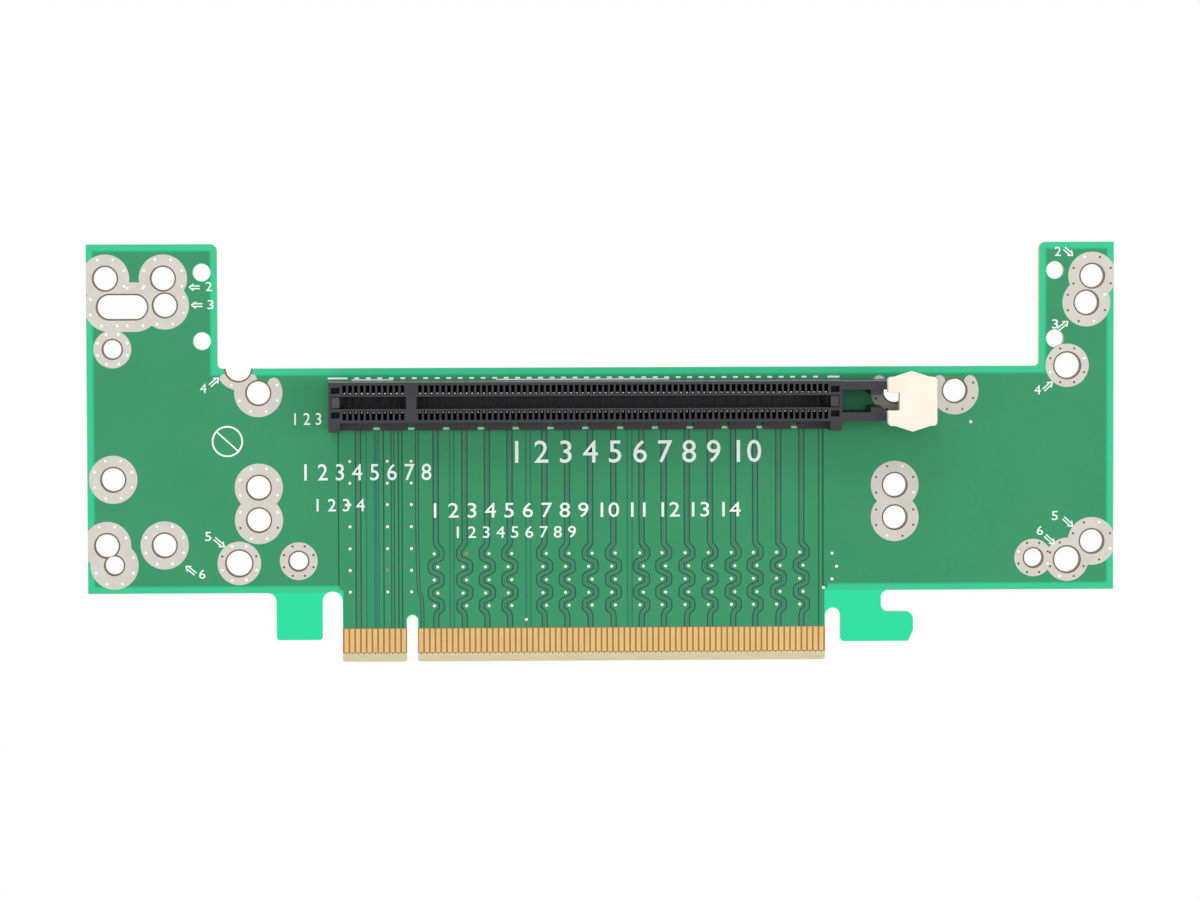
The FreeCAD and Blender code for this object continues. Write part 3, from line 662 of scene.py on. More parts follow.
# %% Ring shapes
OPEN_RINGS = [
    (Vector((-26.63, 34.9)), 31, 128),
    (Vector((84.37, 34.9)), 31, 149),
    (Vector((94.87, 34.9)), 31, 149),
    (RECESS_HOLE[0], -36, 216),
]
SAME_PLACE = 0.5
CAP_STEPS, SLICE_STEPS, SLICE_REACH = 24, 12, 6.0


def cuts_of(middle):
    """Start and end angles of the slices cut from the ring round a place."""
    return [(start, end) for place, start, end in OPEN_RINGS if (place - middle).length < SAME_PLACE]


def wedge(middle, start, end):
    """Slice of the plane between two angles, in degrees."""
    sweep = math.radians(end - start)
    return [tuple(middle)] + disc(middle, SLICE_REACH, SLICE_STEPS, math.radians(start), sweep)


def ring_shapes():
    """Every ring with what cuts it, each ring under a kind of its own."""
    shapes = [("board", outline)]
    for index, (middle, radius, ring_radius) in enumerate(all_holes):
        shapes.append((f"ring {index}", disc(middle, ring_radius)))
        shapes.append(("hole", disc(middle, radius - LINING + LIP)))
        mean, half = (radius + ring_radius) / 2, (ring_radius - radius) / 2
        for start, end in cuts_of(middle):
            shapes.append((f"gap {index}", wedge(middle, start, end)))
            for angle in (start, end):
                cap_middle = disc(middle, mean, 1, math.radians(angle))[0]
                shapes.append(("cap", disc(cap_middle, half, CAP_STEPS)))
    shapes.append(("stadium", stadium(2 * OBLONG_RADIUS)))
    shapes.append(("hole", stadium(OBLONG_RADIUS - LINING + LIP)))
    return shapes


def ring_here(kinds):
    """True where tin lies."""
    if "board" not in kinds or "hole" in kinds:
        return False
    if "stadium" in kinds or "cap" in kinds:
        return True
    return any(k.startswith("ring") and k.replace("ring", "gap") not in kinds for k in kinds)


TIN_THICK, TIN_SOFT = 0.05 * MM, 0.02 * MM


def rings(name, low, high, facing):
    """All tinned rings of one face."""
    flat = stencil(ring_shapes(), ring_here)
    return piece(name, thicken(flat, low, high, TIN_SOFT, facing), tin)


rings("tinned_rings_front", TOP, TOP + TIN_THICK, 1)
rings("tinned_rings_back", BACK - TIN_THICK, BACK, -1)

# %% [markdown]
# ## Plated barrels
#
# The copper goes down through the holes as a thin barrel, and its rim shows as a darker, browner
# line. The barrel and its lips get a darker brown than the copper has, as painted shade for the
# hole's wall down in the shadow. Each barrel is cut with the same stencil as a thin wall, a hair
# inside the drilled hole, and ends in a narrow lip on both faces.

# %% Barrels and lips
shaded_bronze = Finish("plated_barrel", Metallic=0.7, Roughness=0.4)
streaks = shaded_bronze.grain(0.4 * MM, 2.0, (1, 1, 0.3))
# The brown is darker than the copper's own: painted shade for the barrel's wall in the hole.
shaded_bronze.feed(Base_Color=shaded_bronze.mix(streaks, shade(112, 88, 66), shade(158, 134, 108)))
shaded_bronze.feed(Roughness=0.35 + streaks * 0.25)
shaded_bronze.bump(streaks, 0.01 * MM, 0.4)


def hole_shapes(kind, extra):
    """Outlines of all tinned holes, with some extra radius."""
    shapes = [(kind, disc(middle, radius + extra)) for middle, radius, _ in all_holes]
    shapes.append((kind, stadium(OBLONG_RADIUS + extra)))
    return shapes


def barrel(name, inside, outside, low, high, soft=0.0, facing=1):
    """Wall between two outlines of every tinned hole."""
    shapes = hole_shapes("bore", inside) + hole_shapes("wall", outside)
    shapes.append(("board", block(LEFT, 0, RIGHT, EAR_TOP)))
    shapes.append(("recess", block(EAR_LEFT, RECESS, EAR_RIGHT, EAR_TOP + BORDER)))
    flat = stencil(shapes, lambda kinds: {"wall", "board"} <= kinds and not kinds & {"bore", "recess"})
    return piece(name, thicken(flat, low, high, soft, facing), shaded_bronze)


DRILL_SLACK = 0.03
LIP_SOFT = 0.03 * MM
BARREL_INSIDE = -LINING - DRILL_SLACK
barrel("hole_barrels", BARREL_INSIDE, -DRILL_SLACK, BACK - SKIN, TOP + SKIN)
barrel("hole_lips_front", BARREL_INSIDE, LIP, TOP, TOP + TIN_THICK, LIP_SOFT)
barrel("hole_lips_back", BARREL_INSIDE, LIP, BACK - TIN_THICK, BACK, LIP_SOFT, -1)

# %% [markdown]
# ## Stitching holes in the rings
#
# Eight tiny plated holes stand round each ring and tie its two faces together. Most of them are
# painted near-white as bright dots, painted light for the white bench seen through the hole; the
# others are painted dark, as painted shade in the hole. A dot is a low dome with few faces, because
# there are hundreds of them: a small disc, extruded twice while it shrinks and rises. The solder
# joints further on grow from a disc in the same way.

# %% Dot finishes
# Painted light: near-white dots stand for the white bench seen through the stitching holes.
solder = Finish("stitch_painted_light", Roughness=0.28, Metallic=0.15)
sparkle = solder.grain(0.25 * MM)
solder.feed(Base_Color=solder.mix(sparkle, shade(246, 246, 242), shade(255, 255, 255)))
solder.feed(Roughness=0.2 + sparkle * 0.2)
# Painted shade: dark dots stand for the shade inside the stitching holes.
stitch_shade = Finish("open_stitch_hole", Roughness=0.6, Metallic=0.3)
shade_grain = stitch_shade.grain(0.2 * MM)
stitch_shade.feed(Base_Color=stitch_shade.mix(shade_grain, shade(80, 68, 64), shade(122, 106, 98)))
stitch_shade.feed(Roughness=0.5 + shade_grain * 0.3)
solder.tell()
stitch_shade.tell()

# %% Discs that grow
def grow(mesh, centre, profile, steps=10):
    """Disc extruded through the (radius, height) pairs of a profile, in metres from its centre."""
    place = Matrix.Translation(centre)
    circle = bmesh.ops.create_circle(mesh, cap_ends=True, radius=profile[0][0], segments=steps, matrix=place)
    cap = circle["verts"][0].link_faces[0]
    cap.normal_update()
    if (cap.normal.z > 0) != (profile[-1][1] > 0):
        bmesh.ops.reverse_faces(mesh, faces=[cap])
    for radius, height in profile[1:]:
        cap = bmesh.ops.extrude_discrete_faces(mesh, faces=[cap])["faces"][0]
        for vert in cap.verts:
            direction = (vert.co.xy - centre.xy).normalized()
            vert.co.xy = centre.xy + direction * radius
            vert.co.z = centre.z + height


DOME = ((1.0, 0.0), (0.8, 0.6), (0.45, 1.0))


def dome(mesh, middle, radius, level, rise, steps=10):
    """Low dome on one face of the board, with its radius in card millimetres."""
    profile = [(part * radius * MM, share * rise) for part, share in DOME]
    grow(mesh, Vector((*spot(*middle), level)), profile, steps)


# %% Stitching places
STITCHES = 8
STITCH_SHARE = 0.84
HOLE_CLEAR, RING_OVERLAP, EDGE_CLEAR = 0.55, 0.5, 0.5


def stitch_places():
    """Places of the stitching holes that lie on tin, clear of other holes and of the edge."""
    places = []
    oblong_ends = [(Vector((x, OBLONG_Y)), WIDE, RING_FOR[WIDE]) for x in (OBLONG_START, OBLONG_END)]
    spread = all_holes + oblong_ends
    for middle, _, ring_radius in spread:
        others = [(other, other_ring) for other, _, other_ring in spread if other is not middle]
        for index in range(STITCHES):
            angle = 360 * (index + 0.5) / STITCHES
            heading = Vector((math.cos(math.radians(angle)), math.sin(math.radians(angle))))
            place = middle + STITCH_SHARE * ring_radius * heading
            near_hole = any((place - other).length < size + HOLE_CLEAR for other, size, _ in spread)
            crowded = any((place - other).length < ring - RING_OVERLAP for other, ring in others)
            gone = any(start < at < end for start, end in cuts_of(middle) for at in (angle, angle - 360))
            beside = LEFT + EDGE_CLEAR < place.x < RIGHT - EDGE_CLEAR and place.y < EAR_TOP - EDGE_CLEAR
            if beside and not (near_hole or crowded or gone):
                places.append(place)
    return places


stitches = stitch_places()
print(len(stitches), "stitching holes")

# %% [markdown]
# Which holes are painted dark is read from the real card: three of four on its right part, all of
# one small ring, and on two rings at the left the ones in a row just off the middle of the hole.
# A row is given by the ring's middle and the row's height above it.

# %% Stitching dots
STITCH_RADIUS = 0.25
DARK_FROM, DARK_OUT_OF = 60.0, 4
DARK_RING = Vector((-19.76, 5.56))
DARK_ROWS = [(Vector((-26.63, 12.75)), -1.35), (Vector((-30.1, 5.22)), 1.2)]
RING_REACH, ROW_SLACK = 4.0, 0.3
DOT_RISE, SHADED_RISE, BACK_RISE = 0.05 * MM, 0.01 * MM, 0.04 * MM


def stands_open(index, place):
    """True for a stitching hole that is painted dark, as painted shade."""
    if place.x > DARK_FROM:
        return index % DARK_OUT_OF != 0
    if (place - DARK_RING).length < RING_REACH:
        return True
    return any(
        (place - middle).length < RING_REACH and abs(place.y - middle.y - row) < ROW_SLACK
        for middle, row in DARK_ROWS
    )


lit_dots, shaded_dots = bmesh.new(), bmesh.new()
for index, place in enumerate(stitches):
    is_dark = stands_open(index, place)
    target, rise = (shaded_dots, SHADED_RISE) if is_dark else (lit_dots, DOT_RISE)
    dome(target, place, STITCH_RADIUS, TOP + TIN_THICK - SINK, rise)
    dome(lit_dots, place, STITCH_RADIUS, BACK - TIN_THICK + SINK, -BACK_RISE)
piece("stitches_lit", lit_dots, solder, smooth=80)
piece("stitches_shaded", shaded_dots, stitch_shade, smooth=80)

# %% [markdown]
# ## Tracks
#
# Sixteen pairs of tracks run from the slot down to the gold fingers. Each pair is two flat copper
# strips under the varnish, with a bare channel on both sides. On the way each pair winds round five
# vias, to make all pairs the same length. A track is swept along its route as a strip with that
# section, so the copper stands up and the channels lie low, and the finish picks its green by
# height: the low channels and the dip between the two strips get a darker green as painted shade,
# so each channel shows as a dark line.

# %% Track finishes
CHANNEL, RAISED = 0.02 * MM, 0.05 * MM
DIP = (CHANNEL + RAISED) / 2
LOW_SIDE, LOW_MIDDLE = 0.027 * MM, 0.042 * MM
etched = Finish("tracks_under_mask", Roughness=0.3, **MASK_GLOSS)
level = etched.axes()[2]
copper_here = (level > TOP + LOW_SIDE) + (level < BACK - LOW_SIDE)
crest_here = (level > TOP + LOW_MIDDLE) + (level < BACK - LOW_MIDDLE)
streak = etched.grain(1.6 * MM, 3.0, (1, 0.3, 1))
copper_green = etched.mix(streak, shade(54, 124, 92), shade(68, 138, 102))
# Painted shade: the dip between the strips and the low channels are coloured darker than the copper.
dip_shade_green = etched.mix(streak, shade(46, 114, 84), shade(58, 126, 94))
channel_shade_green = etched.mix(streak, shade(14, 84, 60), shade(24, 98, 72))
strip_green = etched.mix(crest_here, dip_shade_green, copper_green)
etched.feed(Base_Color=etched.mix(copper_here, channel_shade_green, strip_green))
etched.feed(Roughness=0.28 + streak * 0.12)
etched.bump(etched.grain(0.5 * MM), 0.008 * MM, 0.5)
etched.tell()
teal = Finish("inner_tracks_under_mask", Roughness=0.32, Coat_Weight=0.2, Coat_Roughness=0.2)
haze = teal.grain(2 * MM, 2.0, (1, 0.2, 1))
teal.feed(Base_Color=teal.mix(haze, shade(14, 104, 82), shade(30, 120, 94)))
teal.feed(Roughness=0.3 + haze * 0.1)
teal.tell()

# %% [markdown]
# A section is half a profile, from the middle outward, and its mirror image. At every point of
# the route the section stands across the way that the route is going. The strip is closed below
# and at both ends, so it is a real solid.

# %% Sweeping a strip
def mirrored(half):
    """Whole section from its right half, which is offsets in card millimetres with their heights."""
    return [(-offset, rise) for offset, rise in reversed(half)] + half


PAIR_SECTION = mirrored([(0.04, DIP), (0.06, RAISED), (0.31, RAISED), (0.33, CHANNEL), (0.56, CHANNEL)])
SINGLE_SECTION = mirrored([(0.16, RAISED), (0.18, CHANNEL), (0.34, CHANNEL)])
LINE_SECTION = mirrored([(0.12, CHANNEL)])
HEAVY_SECTION = mirrored([(0.17, CHANNEL)])


def sweep_strip(mesh, route, section, face=1):
    """Closed strip with a section, swept along a route in card millimetres, on the front or back."""
    base = TOP if face > 0 else BACK
    ring = section + [(section[-1][0], 0.0), (section[0][0], 0.0)]
    rows = []
    for index, point in enumerate(route):
        before, following = route[max(index - 1, 0)], route[min(index + 1, len(route) - 1)]
        heading = (Vector(following) - Vector(before)).normalized()
        side = Vector((-heading.y, heading.x))
        row = []
        for offset, rise in ring:
            place = spot(*(Vector(point) + side * offset))
            row.append(mesh.verts.new((*place, base + face * rise)))
        rows.append(row)
    for first, second in zip(rows, rows[1:]):
        for index in range(len(ring)):
            onward = (index + 1) % len(ring)
            mesh.faces.new((first[index], first[onward], second[onward], second[index]))
    mesh.faces.new(rows[0])
    mesh.faces.new(rows[-1][::-1])


# %% [markdown]
# The windings are a wave: a cosine swings the pair from side to side, and a little of its third
# harmonic flattens the crests, which makes the bends look like straight runs with round corners.
# Cutting the corners of the route once more softens where it joins the straight ends.

# %% Pair routes
PAIR_X = [4.15, 9.16, 13.08, 17.04, 23.1, 27.05, 31.09, 35.13,
          40.05, 43.92, 47.97, 52.01, 56.06, 59.92, 63.97, 68.01]
TURN_VIAS = [6.7, 4.4, 2.13, -0.17, -2.4]
BULGE_LEFT = range(1, 8)
SWING, FLATTEN = 1.15, 0.2
SLOT_SKIRT, END_Y = 28.4, FINGER_HIGH + FINGER_MARGIN
BEND_START, BEND_ENTRY, BEND_EXIT = 8.9, 8.35, TURN_VIAS[-1] - 1.3
POINTS_PER_BEND, LEAD_POINTS = 10, 3
SHORT_RUN = 0.3


def straight(x):
    """Route straight down from the slot to the fingers."""
    return [(x, SLOT_SKIRT), (x, END_Y)]


def winding(x, sign):
    """Route of one pair: straight, five bends round the vias, straight."""
    points = [(x, SLOT_SKIRT), (x, BEND_START), (x, BEND_ENTRY)]
    bends = len(TURN_VIAS) - 1
    step = (TURN_VIAS[0] - TURN_VIAS[-1]) / bends
    for index in range(-LEAD_POINTS, POINTS_PER_BEND * bends + LEAD_POINTS + 1):
        angle = math.pi * index / POINTS_PER_BEND
        offset = SWING * (math.cos(angle) - FLATTEN * math.cos(3 * angle))
        points.append((x + sign * offset, TURN_VIAS[0] - step * index / POINTS_PER_BEND))
    return points + [(x, BEND_EXIT), (x, END_Y)]


def smooth_route(points, rounds=2):
    """Route whose corners are cut in each round, which rounds them."""
    for _ in range(rounds):
        cut = [points[0]]
        for first, second in zip(points, points[1:]):
            first_point, second_point = Vector(first), Vector(second)
            shares = (0.5,) if (second_point - first_point).length < SHORT_RUN else (0.25, 0.75)
            cut += [tuple(first_point.lerp(second_point, share)) for share in shares]
        points = cut + [points[-1]]
    return points


signs = [-1 if index in BULGE_LEFT else 1 for index in range(len(PAIR_X))]
pair_mesh = bmesh.new()
for x, sign in zip(PAIR_X, signs):
    sweep_strip(pair_mesh, smooth_route(winding(x, sign), 1), PAIR_SECTION)
    sweep_strip(pair_mesh, straight(x), PAIR_SECTION, -1)
piece("track_pairs", outward(pair_mesh), etched, smooth=20)

# %% [markdown]
# ## Side tracks
#
# Beside the pairs there are plain tracks: one broad pair and a bundle on the short side of the
# key, and fine tracks that run on an inner layer and shine through as dull teal lines.

# %% Side tracks
BROAD_X, SINGLE_X, HEAVY_X, EDGE_LINE_X = -9.35, -3.35, 71.76, -12.8
LINE_X = (-4.93, -2.33, -1.72, 71.04)
INNER_X = (-7.93, -6.5, -6.2, -5.8, 6.6, 7.29, 19.87, 20.68, 37.59, 38.4)
PAST_KEY = [(0.9, SLOT_SKIRT), (0.9, 0.5), (1.75, -0.9), (1.75, END_Y)]
HEAVY_ROUTE = [(HEAVY_X, SLOT_SKIRT), (HEAVY_X, 1.5), (HEAVY_X + 0.12, 0.7)]
EDGE_LINE = [(EDGE_LINE_X, SLOT_SKIRT), (EDGE_LINE_X, BORDER + 0.3)]
plain_mesh = bmesh.new()
sweep_strip(plain_mesh, straight(BROAD_X), PAIR_SECTION)
sweep_strip(plain_mesh, straight(SINGLE_X), SINGLE_SECTION)
sweep_strip(plain_mesh, smooth_route(PAST_KEY), SINGLE_SECTION)
for x in LINE_X:
    sweep_strip(plain_mesh, straight(x), LINE_SECTION)
sweep_strip(plain_mesh, smooth_route(HEAVY_ROUTE), HEAVY_SECTION)
sweep_strip(plain_mesh, EDGE_LINE, LINE_SECTION)
piece("side_tracks", outward(plain_mesh), etched, smooth=20)
teal_mesh = bmesh.new()
for x in INNER_X:
    sweep_strip(teal_mesh, straight(x), LINE_SECTION)
piece("inner_tracks", outward(teal_mesh), teal, smooth=20)

# %% [markdown]
# ## Vias
#
# A via is a small plated hole that ties the ground areas together. Its middle is painted near-white
# as painted light, for the white bench seen through the hole, and its ring of copper lies under thin
# varnish, which makes it olive. Each is a low dome, and the core is a smaller dome on top of the
# ring. The pairs wind round one row of vias each, and three columns of them stand on the short side.
# Two vias have no painted light in their middle.

# %% Via finishes
annular = Finish("via_ring_copper", Metallic=0.2, Roughness=0.45)
olive = annular.grain(0.3 * MM)
annular.feed(Base_Color=annular.mix(olive, shade(124, 132, 82), shade(150, 150, 102)))
annular.feed(Roughness=0.4 + olive * 0.2)
annular.tell()
# Painted light: the near-white core stands for the white bench seen through the via.
via_light = Finish("via_core_painted_light", Metallic=0.05, Roughness=0.35)
shine = via_light.grain(0.2 * MM)
via_light.feed(Base_Color=via_light.mix(shine, shade(226, 244, 226), shade(246, 255, 246)))
via_light.feed(Roughness=0.3 + shine * 0.2)
via_light.tell()

# %% Vias
VIA_SIDE = 0.31
VIA_RADIUS, VIA_RISE, RING_STEPS = 0.36, 0.05 * MM, 14
CORE_RADIUS, CORE_RISE, CORE_LIFT = 0.255, 0.04 * MM, 0.035 * MM
COLUMN_X = (-10.8, -4.28, -0.11)
COLUMN_ROWS = (22.93, 19.11, 15.36, 11.5, 7.66, 3.86, 0.09)
LONE_VIAS = ((19.89, -4.86), (73.39, 6.49), (74.18, 4.2), (73.38, 1.98), (71.88, 0.49), (97.7, 29.39))
via_places = []
for x, sign in zip(PAIR_X, signs):
    for index, y in enumerate(TURN_VIAS):
        side = -sign if index % 2 == 0 else sign
        via_places.append((x + side * VIA_SIDE, y))
via_places += [(x, y) for x in COLUMN_X for y in COLUMN_ROWS]
via_places += LONE_VIAS
SECOND_PAIR_TOP = via_places[len(TURN_VIAS)]
DARK_VIAS = (SECOND_PAIR_TOP, (COLUMN_X[1], COLUMN_ROWS[5]))
via_ring, via_core = bmesh.new(), bmesh.new()
for place in via_places:
    for face, way in ((TOP + FIELD_THICK, 1), (BACK - FIELD_THICK, -1)):
        dome(via_ring, place, VIA_RADIUS, face - way * SINK, way * VIA_RISE, RING_STEPS)
        if place not in DARK_VIAS:
            dome(via_core, place, CORE_RADIUS, face + way * CORE_LIFT, way * CORE_RISE)
piece("via_rings", via_ring, annular, smooth=80)
piece("via_cores", via_core, via_light, smooth=80)
print(len(via_places), "vias")

# %% [markdown]
# ## White print
#
# The print is a thin white ink, laid on by a screen. On this part it is plain: arrows with
# numbers at the fixing holes, a round mark, rows of counting numbers and the contact scale along
# the slot. Arrows, marks and scale are stencils again. The numbers come from the built-in font:
# the text is turned into a mesh first, and only then stretched over the place it fills.

# %% Ink finish
INK_LOW, INK_HIGH = TOP + FIELD_THICK - SINK, TOP + 0.075 * MM
ink = Finish("white_ink", Roughness=0.55)
thin = ink.grain(0.35 * MM, 3.0)
ink.feed(Base_Color=ink.mix(thin, shade(222, 240, 230), shade(250, 253, 250)))
ink.feed(Roughness=0.5 + thin * 0.2)
ink.tell()

# %% Arrows
ARROWS = [
    ((-36.67, 53.33), (-38.49, 53.33)), ((-36.22, 50.24), (-38.1, 50.24)), ((-35.01, 36.2), (-33.52, 37.54)),
    ((-34.41, 9.58), (-32.71, 8.12)), ((-37.74, 3.39), (-39.37, 4.75)), ((114.03, 59.65), (115.51, 58.4)),
    ((113.0, 45.49), (114.69, 46.88)), ((110.45, 34.89), (111.99, 36.28)), ((110.75, 9.44), (112.39, 7.97)),
    ((114.0, 12.5), (115.58, 11.02)),
]
STROKE_HALF, SHAFT_SIDE, SHAFT_SHORT = 0.11, 0.24, 0.3
BARB_BACK, BARB_FRONT, BARB_ANGLE = 0.95, 0.05, math.radians(38)


def inked(left, low, right, high):
    """Rectangle of ink in card millimetres."""
    return ("ink", block(left, low, right, high))


def arrow_shapes(tail, tip):
    """Double-line arrow from a tail to a tip: two shafts and two barbs."""
    run = Vector(tip) - Vector(tail)
    angle = math.atan2(run.y, run.x)
    loops = []
    for side in (-1, 1):
        middle = side * SHAFT_SIDE
        shaft = block(0, middle - STROKE_HALF, run.length - SHAFT_SHORT, middle + STROKE_HALF)
        barb = block(-BARB_BACK, -STROKE_HALF, BARB_FRONT, STROKE_HALF)
        loops += [shaft, turned(barb, -side * BARB_ANGLE, (run.length, 0))]
    return [("ink", turned(loop, angle, tail)) for loop in loops]


def ink_here(kinds):
    """True where ink lies."""
    return "board" in kinds and ("ink" in kinds or ("ring" in kinds and "ring hole" not in kinds))


print(len(ARROWS), "arrows")

# %% Round mark and contact scale
RING_AT, RING_OUTER, RING_INNER = (-32.04, 26.49), 2.72, 2.42
BAR_REACH, BAR_HALF, BAR_TURN = 2.5, 0.13, math.radians(-42)
SCALE_LOW, SCALE_HIGH, LINE_LOW, LINE_HIGH = 37.25, 37.55, 36.95, 37.2
SCALE_ENDS, SCALE_LINES = ((-14.55, -11.1), (72.6, 74.7)), ((-10.4, -3.2), (14.8, 44.9))
DASHES, DASH_START, DASH_PITCH, DASH_HALF = 41, -9.5, 2.0, 0.42
MARKS, MARK_START, MARK_PITCH, MARK_HALF = 13, -6.1, 6.06, 0.56
MARK_LOW, MARK_HIGH = 28.45, 28.83
printed = [("board", outline), ("ring", disc(RING_AT, RING_OUTER)), ("ring hole", disc(RING_AT, RING_INNER))]
printed.append(("ink", turned(block(-BAR_REACH, -BAR_HALF, BAR_REACH, BAR_HALF), BAR_TURN, RING_AT)))
for tail, tip in ARROWS:
    printed += arrow_shapes(tail, tip)
printed += [inked(left, SCALE_LOW, right, SCALE_HIGH) for left, right in SCALE_ENDS]
printed += [inked(left, LINE_LOW, right, LINE_HIGH) for left, right in SCALE_LINES]
for x in (DASH_START + DASH_PITCH * index for index in range(DASHES)):
    printed.append(inked(x - DASH_HALF, SCALE_LOW, x + DASH_HALF, SCALE_HIGH))
for x in (MARK_START + MARK_PITCH * index for index in range(MARKS)):
    printed.append(inked(x - MARK_HALF, MARK_LOW, x + MARK_HALF, MARK_HIGH))
piece("white_print", thicken(stencil(printed, ink_here), INK_LOW, INK_HIGH), ink)

# %% [markdown]
# The fixing holes of each end are numbered from 2 to 6. A number's box is given by its middle,
# and a row of numbers by how far it counts and the box that it fills. The font is a little thin
# for print, so its outline is moved outward by a hair.

# %% Counting numbers
ARROW_NUMBERS = [
    (-35.11, 53.47), (-34.81, 50.31), (-36.17, 35.77), (-35.49, 9.95), (-36.55, 3.37),
    (112.94, 59.13), (112.47, 46.46), (109.4, 34.95), (112.47, 12.9), (109.86, 10.3),
]
FIRST_NUMBER, NUMBERS_PER_END = 2, 5
DIGIT_HALF_WIDTH, DIGIT_HALF_HEIGHT = 0.55, 0.8
NUMBER_ROWS = [
    (10, 18.0, 22.5, 61.0, 26.45), (8, -18.7, 19.6, 3.4, 22.5), (4, -16.6, 14.2, -8.2, 16.4),
    (14, 3.8, 13.0, 57.4, 15.6), (9, 7.8, 9.45, 28.6, 11.5), (3, -20.4, 29.3, -15.7, 31.4),
]
FONT_STEPS, FONT_FATTER = 3, 0.004


def print_numbers(mesh, text, left, low, right, high):
    """Text of the built-in font, stretched over a box in card millimetres."""
    curve = bpy.data.curves.new("number", "FONT")
    curve.body = text
    curve.resolution_u = FONT_STEPS
    curve.offset = FONT_FATTER
    holder = bpy.data.objects.new("number", curve)
    bpy.context.scene.collection.objects.link(holder)
    evaluated = holder.evaluated_get(bpy.context.evaluated_depsgraph_get())
    data = bpy.data.meshes.new_from_object(evaluated)
    bpy.data.objects.remove(holder)
    start, end = spot(left, low), spot(right, high)
    for axis in (0, 1):
        places = [vert.co[axis] for vert in data.vertices]
        lowest, extent = min(places), max(places) - min(places)
        for vert in data.vertices:
            vert.co[axis] = start[axis] + (end[axis] - start[axis]) * (vert.co[axis] - lowest) / extent
    mesh.from_mesh(data)


numbers = bmesh.new()
for index, (x, y) in enumerate(ARROW_NUMBERS):
    digit = str(FIRST_NUMBER + index % NUMBERS_PER_END)
    box = (x - DIGIT_HALF_WIDTH, y - DIGIT_HALF_HEIGHT, x + DIGIT_HALF_WIDTH, y + DIGIT_HALF_HEIGHT)
    print_numbers(numbers, digit, *box)
for count, *box in NUMBER_ROWS:
    print_numbers(numbers, " ".join(str(number) for number in range(1, count + 1)), *box)
bmesh.ops.remove_doubles(numbers, verts=numbers.verts, dist=SKIN / 100)
piece("print_numbers", thicken(numbers, INK_LOW, INK_HIGH), ink)

# %% [markdown]
# ## Gold fingers
#
# The fingers are hard gold over nickel. Their solids are right as they are, so they keep their
# mesh and get a finish: warm gold, slightly brushed along the way the card goes in, with the
# faint rub marks that a test socket leaves.

# %% Gold finish
gold = Finish("hard_gold", Metallic=0.5, Roughness=0.34)
brushed = gold.grain(0.12 * MM, 2.0, (1, 0.04, 1))
warmth = gold.grain(5 * MM)
gold.feed(Base_Color=gold.mix(brushed * 0.5 + warmth * 0.5, shade(232, 186, 118), shade(252, 214, 152)))
gold.feed(Roughness=0.28 + brushed * 0.16)
gold.bump(brushed, 0.004 * MM, 0.5)
for face in ("front", "back"):
    for group, _, _ in FINGER_GROUPS:
        gold.cover(nodes[f"edge_contacts_{face}_{group}"])
gold.tell()

# %% [markdown]
# Below each finger a short stub is left from the plating bar. It is a thin dark dash on the bare
# laminate strip.

# %% Plating stubs
STUB_HALF, STUB_LENGTH, STUB_THICK = 0.09, 0.3, 0.02 * MM
stub_shapes = []
for _, first, count in FINGER_GROUPS:
    for x in group_places(first, count):
        stub = block(x - STUB_HALF, FINGER_LOW - STUB_LENGTH, x + STUB_HALF, FINGER_LOW)
        stub_shapes.append(("stub", stub))
stub_flat = stencil(stub_shapes, lambda kinds: "stub" in kinds)
piece("plating_stubs", thicken(stub_flat, TOP, TOP + STUB_THICK), shaded_bronze)

# %% [markdown]
# ## Slot housing
#
# The housing is glass-filled black plastic, moulded in one shot. The solid already has its
# cavities, bars and flange, so a copy of it is merged, its coplanar triangles are joined, and its
# sharp edges get the small rounding that a mould leaves. That rounding is what catches the light
# and makes it read as plastic.

# %% Dress a copy of a solid
FLAT_TURN, EDGE_TURN = math.radians(2), math.radians(40)


def dressed(node, rounding, segments=1, change=None):
    """Copy of a node's mesh, joined up, with rounded edges."""
    mesh = bmesh.new()
    mesh.from_mesh(nodes[node].data)
    bmesh.ops.remove_doubles(mesh, verts=mesh.verts, dist=SKIN / 20)
    if change:
        change(mesh)
    bmesh.ops.dissolve_limit(mesh, angle_limit=FLAT_TURN, verts=mesh.verts, edges=mesh.edges)
    sharp = [edge for edge in mesh.edges if len(edge.link_faces) == 2 and edge.calc_face_angle(0) > EDGE_TURN]
    rounded(mesh, sharp, rounding, segments)
    return mesh


print("edges that turn more than", round(math.degrees(EDGE_TURN)), "degrees are rounded")

# %% [markdown]
# Deep inside the slot the same plastic is painted nearly black, as painted shade, because hardly
# any light reaches those walls. The colour changes inside a box between the two ends of the card
# slot, a little below the top.

# %% Housing finish
CONTACT_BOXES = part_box("slot_contacts_upper_long"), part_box("slot_contacts_lower_long")
SLOT_CENTRE_Y = (CONTACT_BOXES[0][1].y + CONTACT_BOXES[1][0].y) / 2
SLOT_START, SLOT_END = -13.65, 73.65
INSIDE_HALF, INSIDE_DEPTH, INSIDE_PAST = 2.9 * MM, 1.3 * MM, 0.1
black = Finish("moulded_black_plastic", Roughness=0.42, Specular_IOR_Level=0.5)
pebble = black.grain(0.16 * MM, 2.0)
flow = black.grain(5 * MM, 3.0, (0.2, 1, 1))
along_slot, across_slot, tall = black.axes()
aside = across_slot - SLOT_CENTRE_Y
past_start = along_slot > spot(SLOT_START - INSIDE_PAST, 0).x
before_end = along_slot < spot(SLOT_END + INSIDE_PAST, 0).x
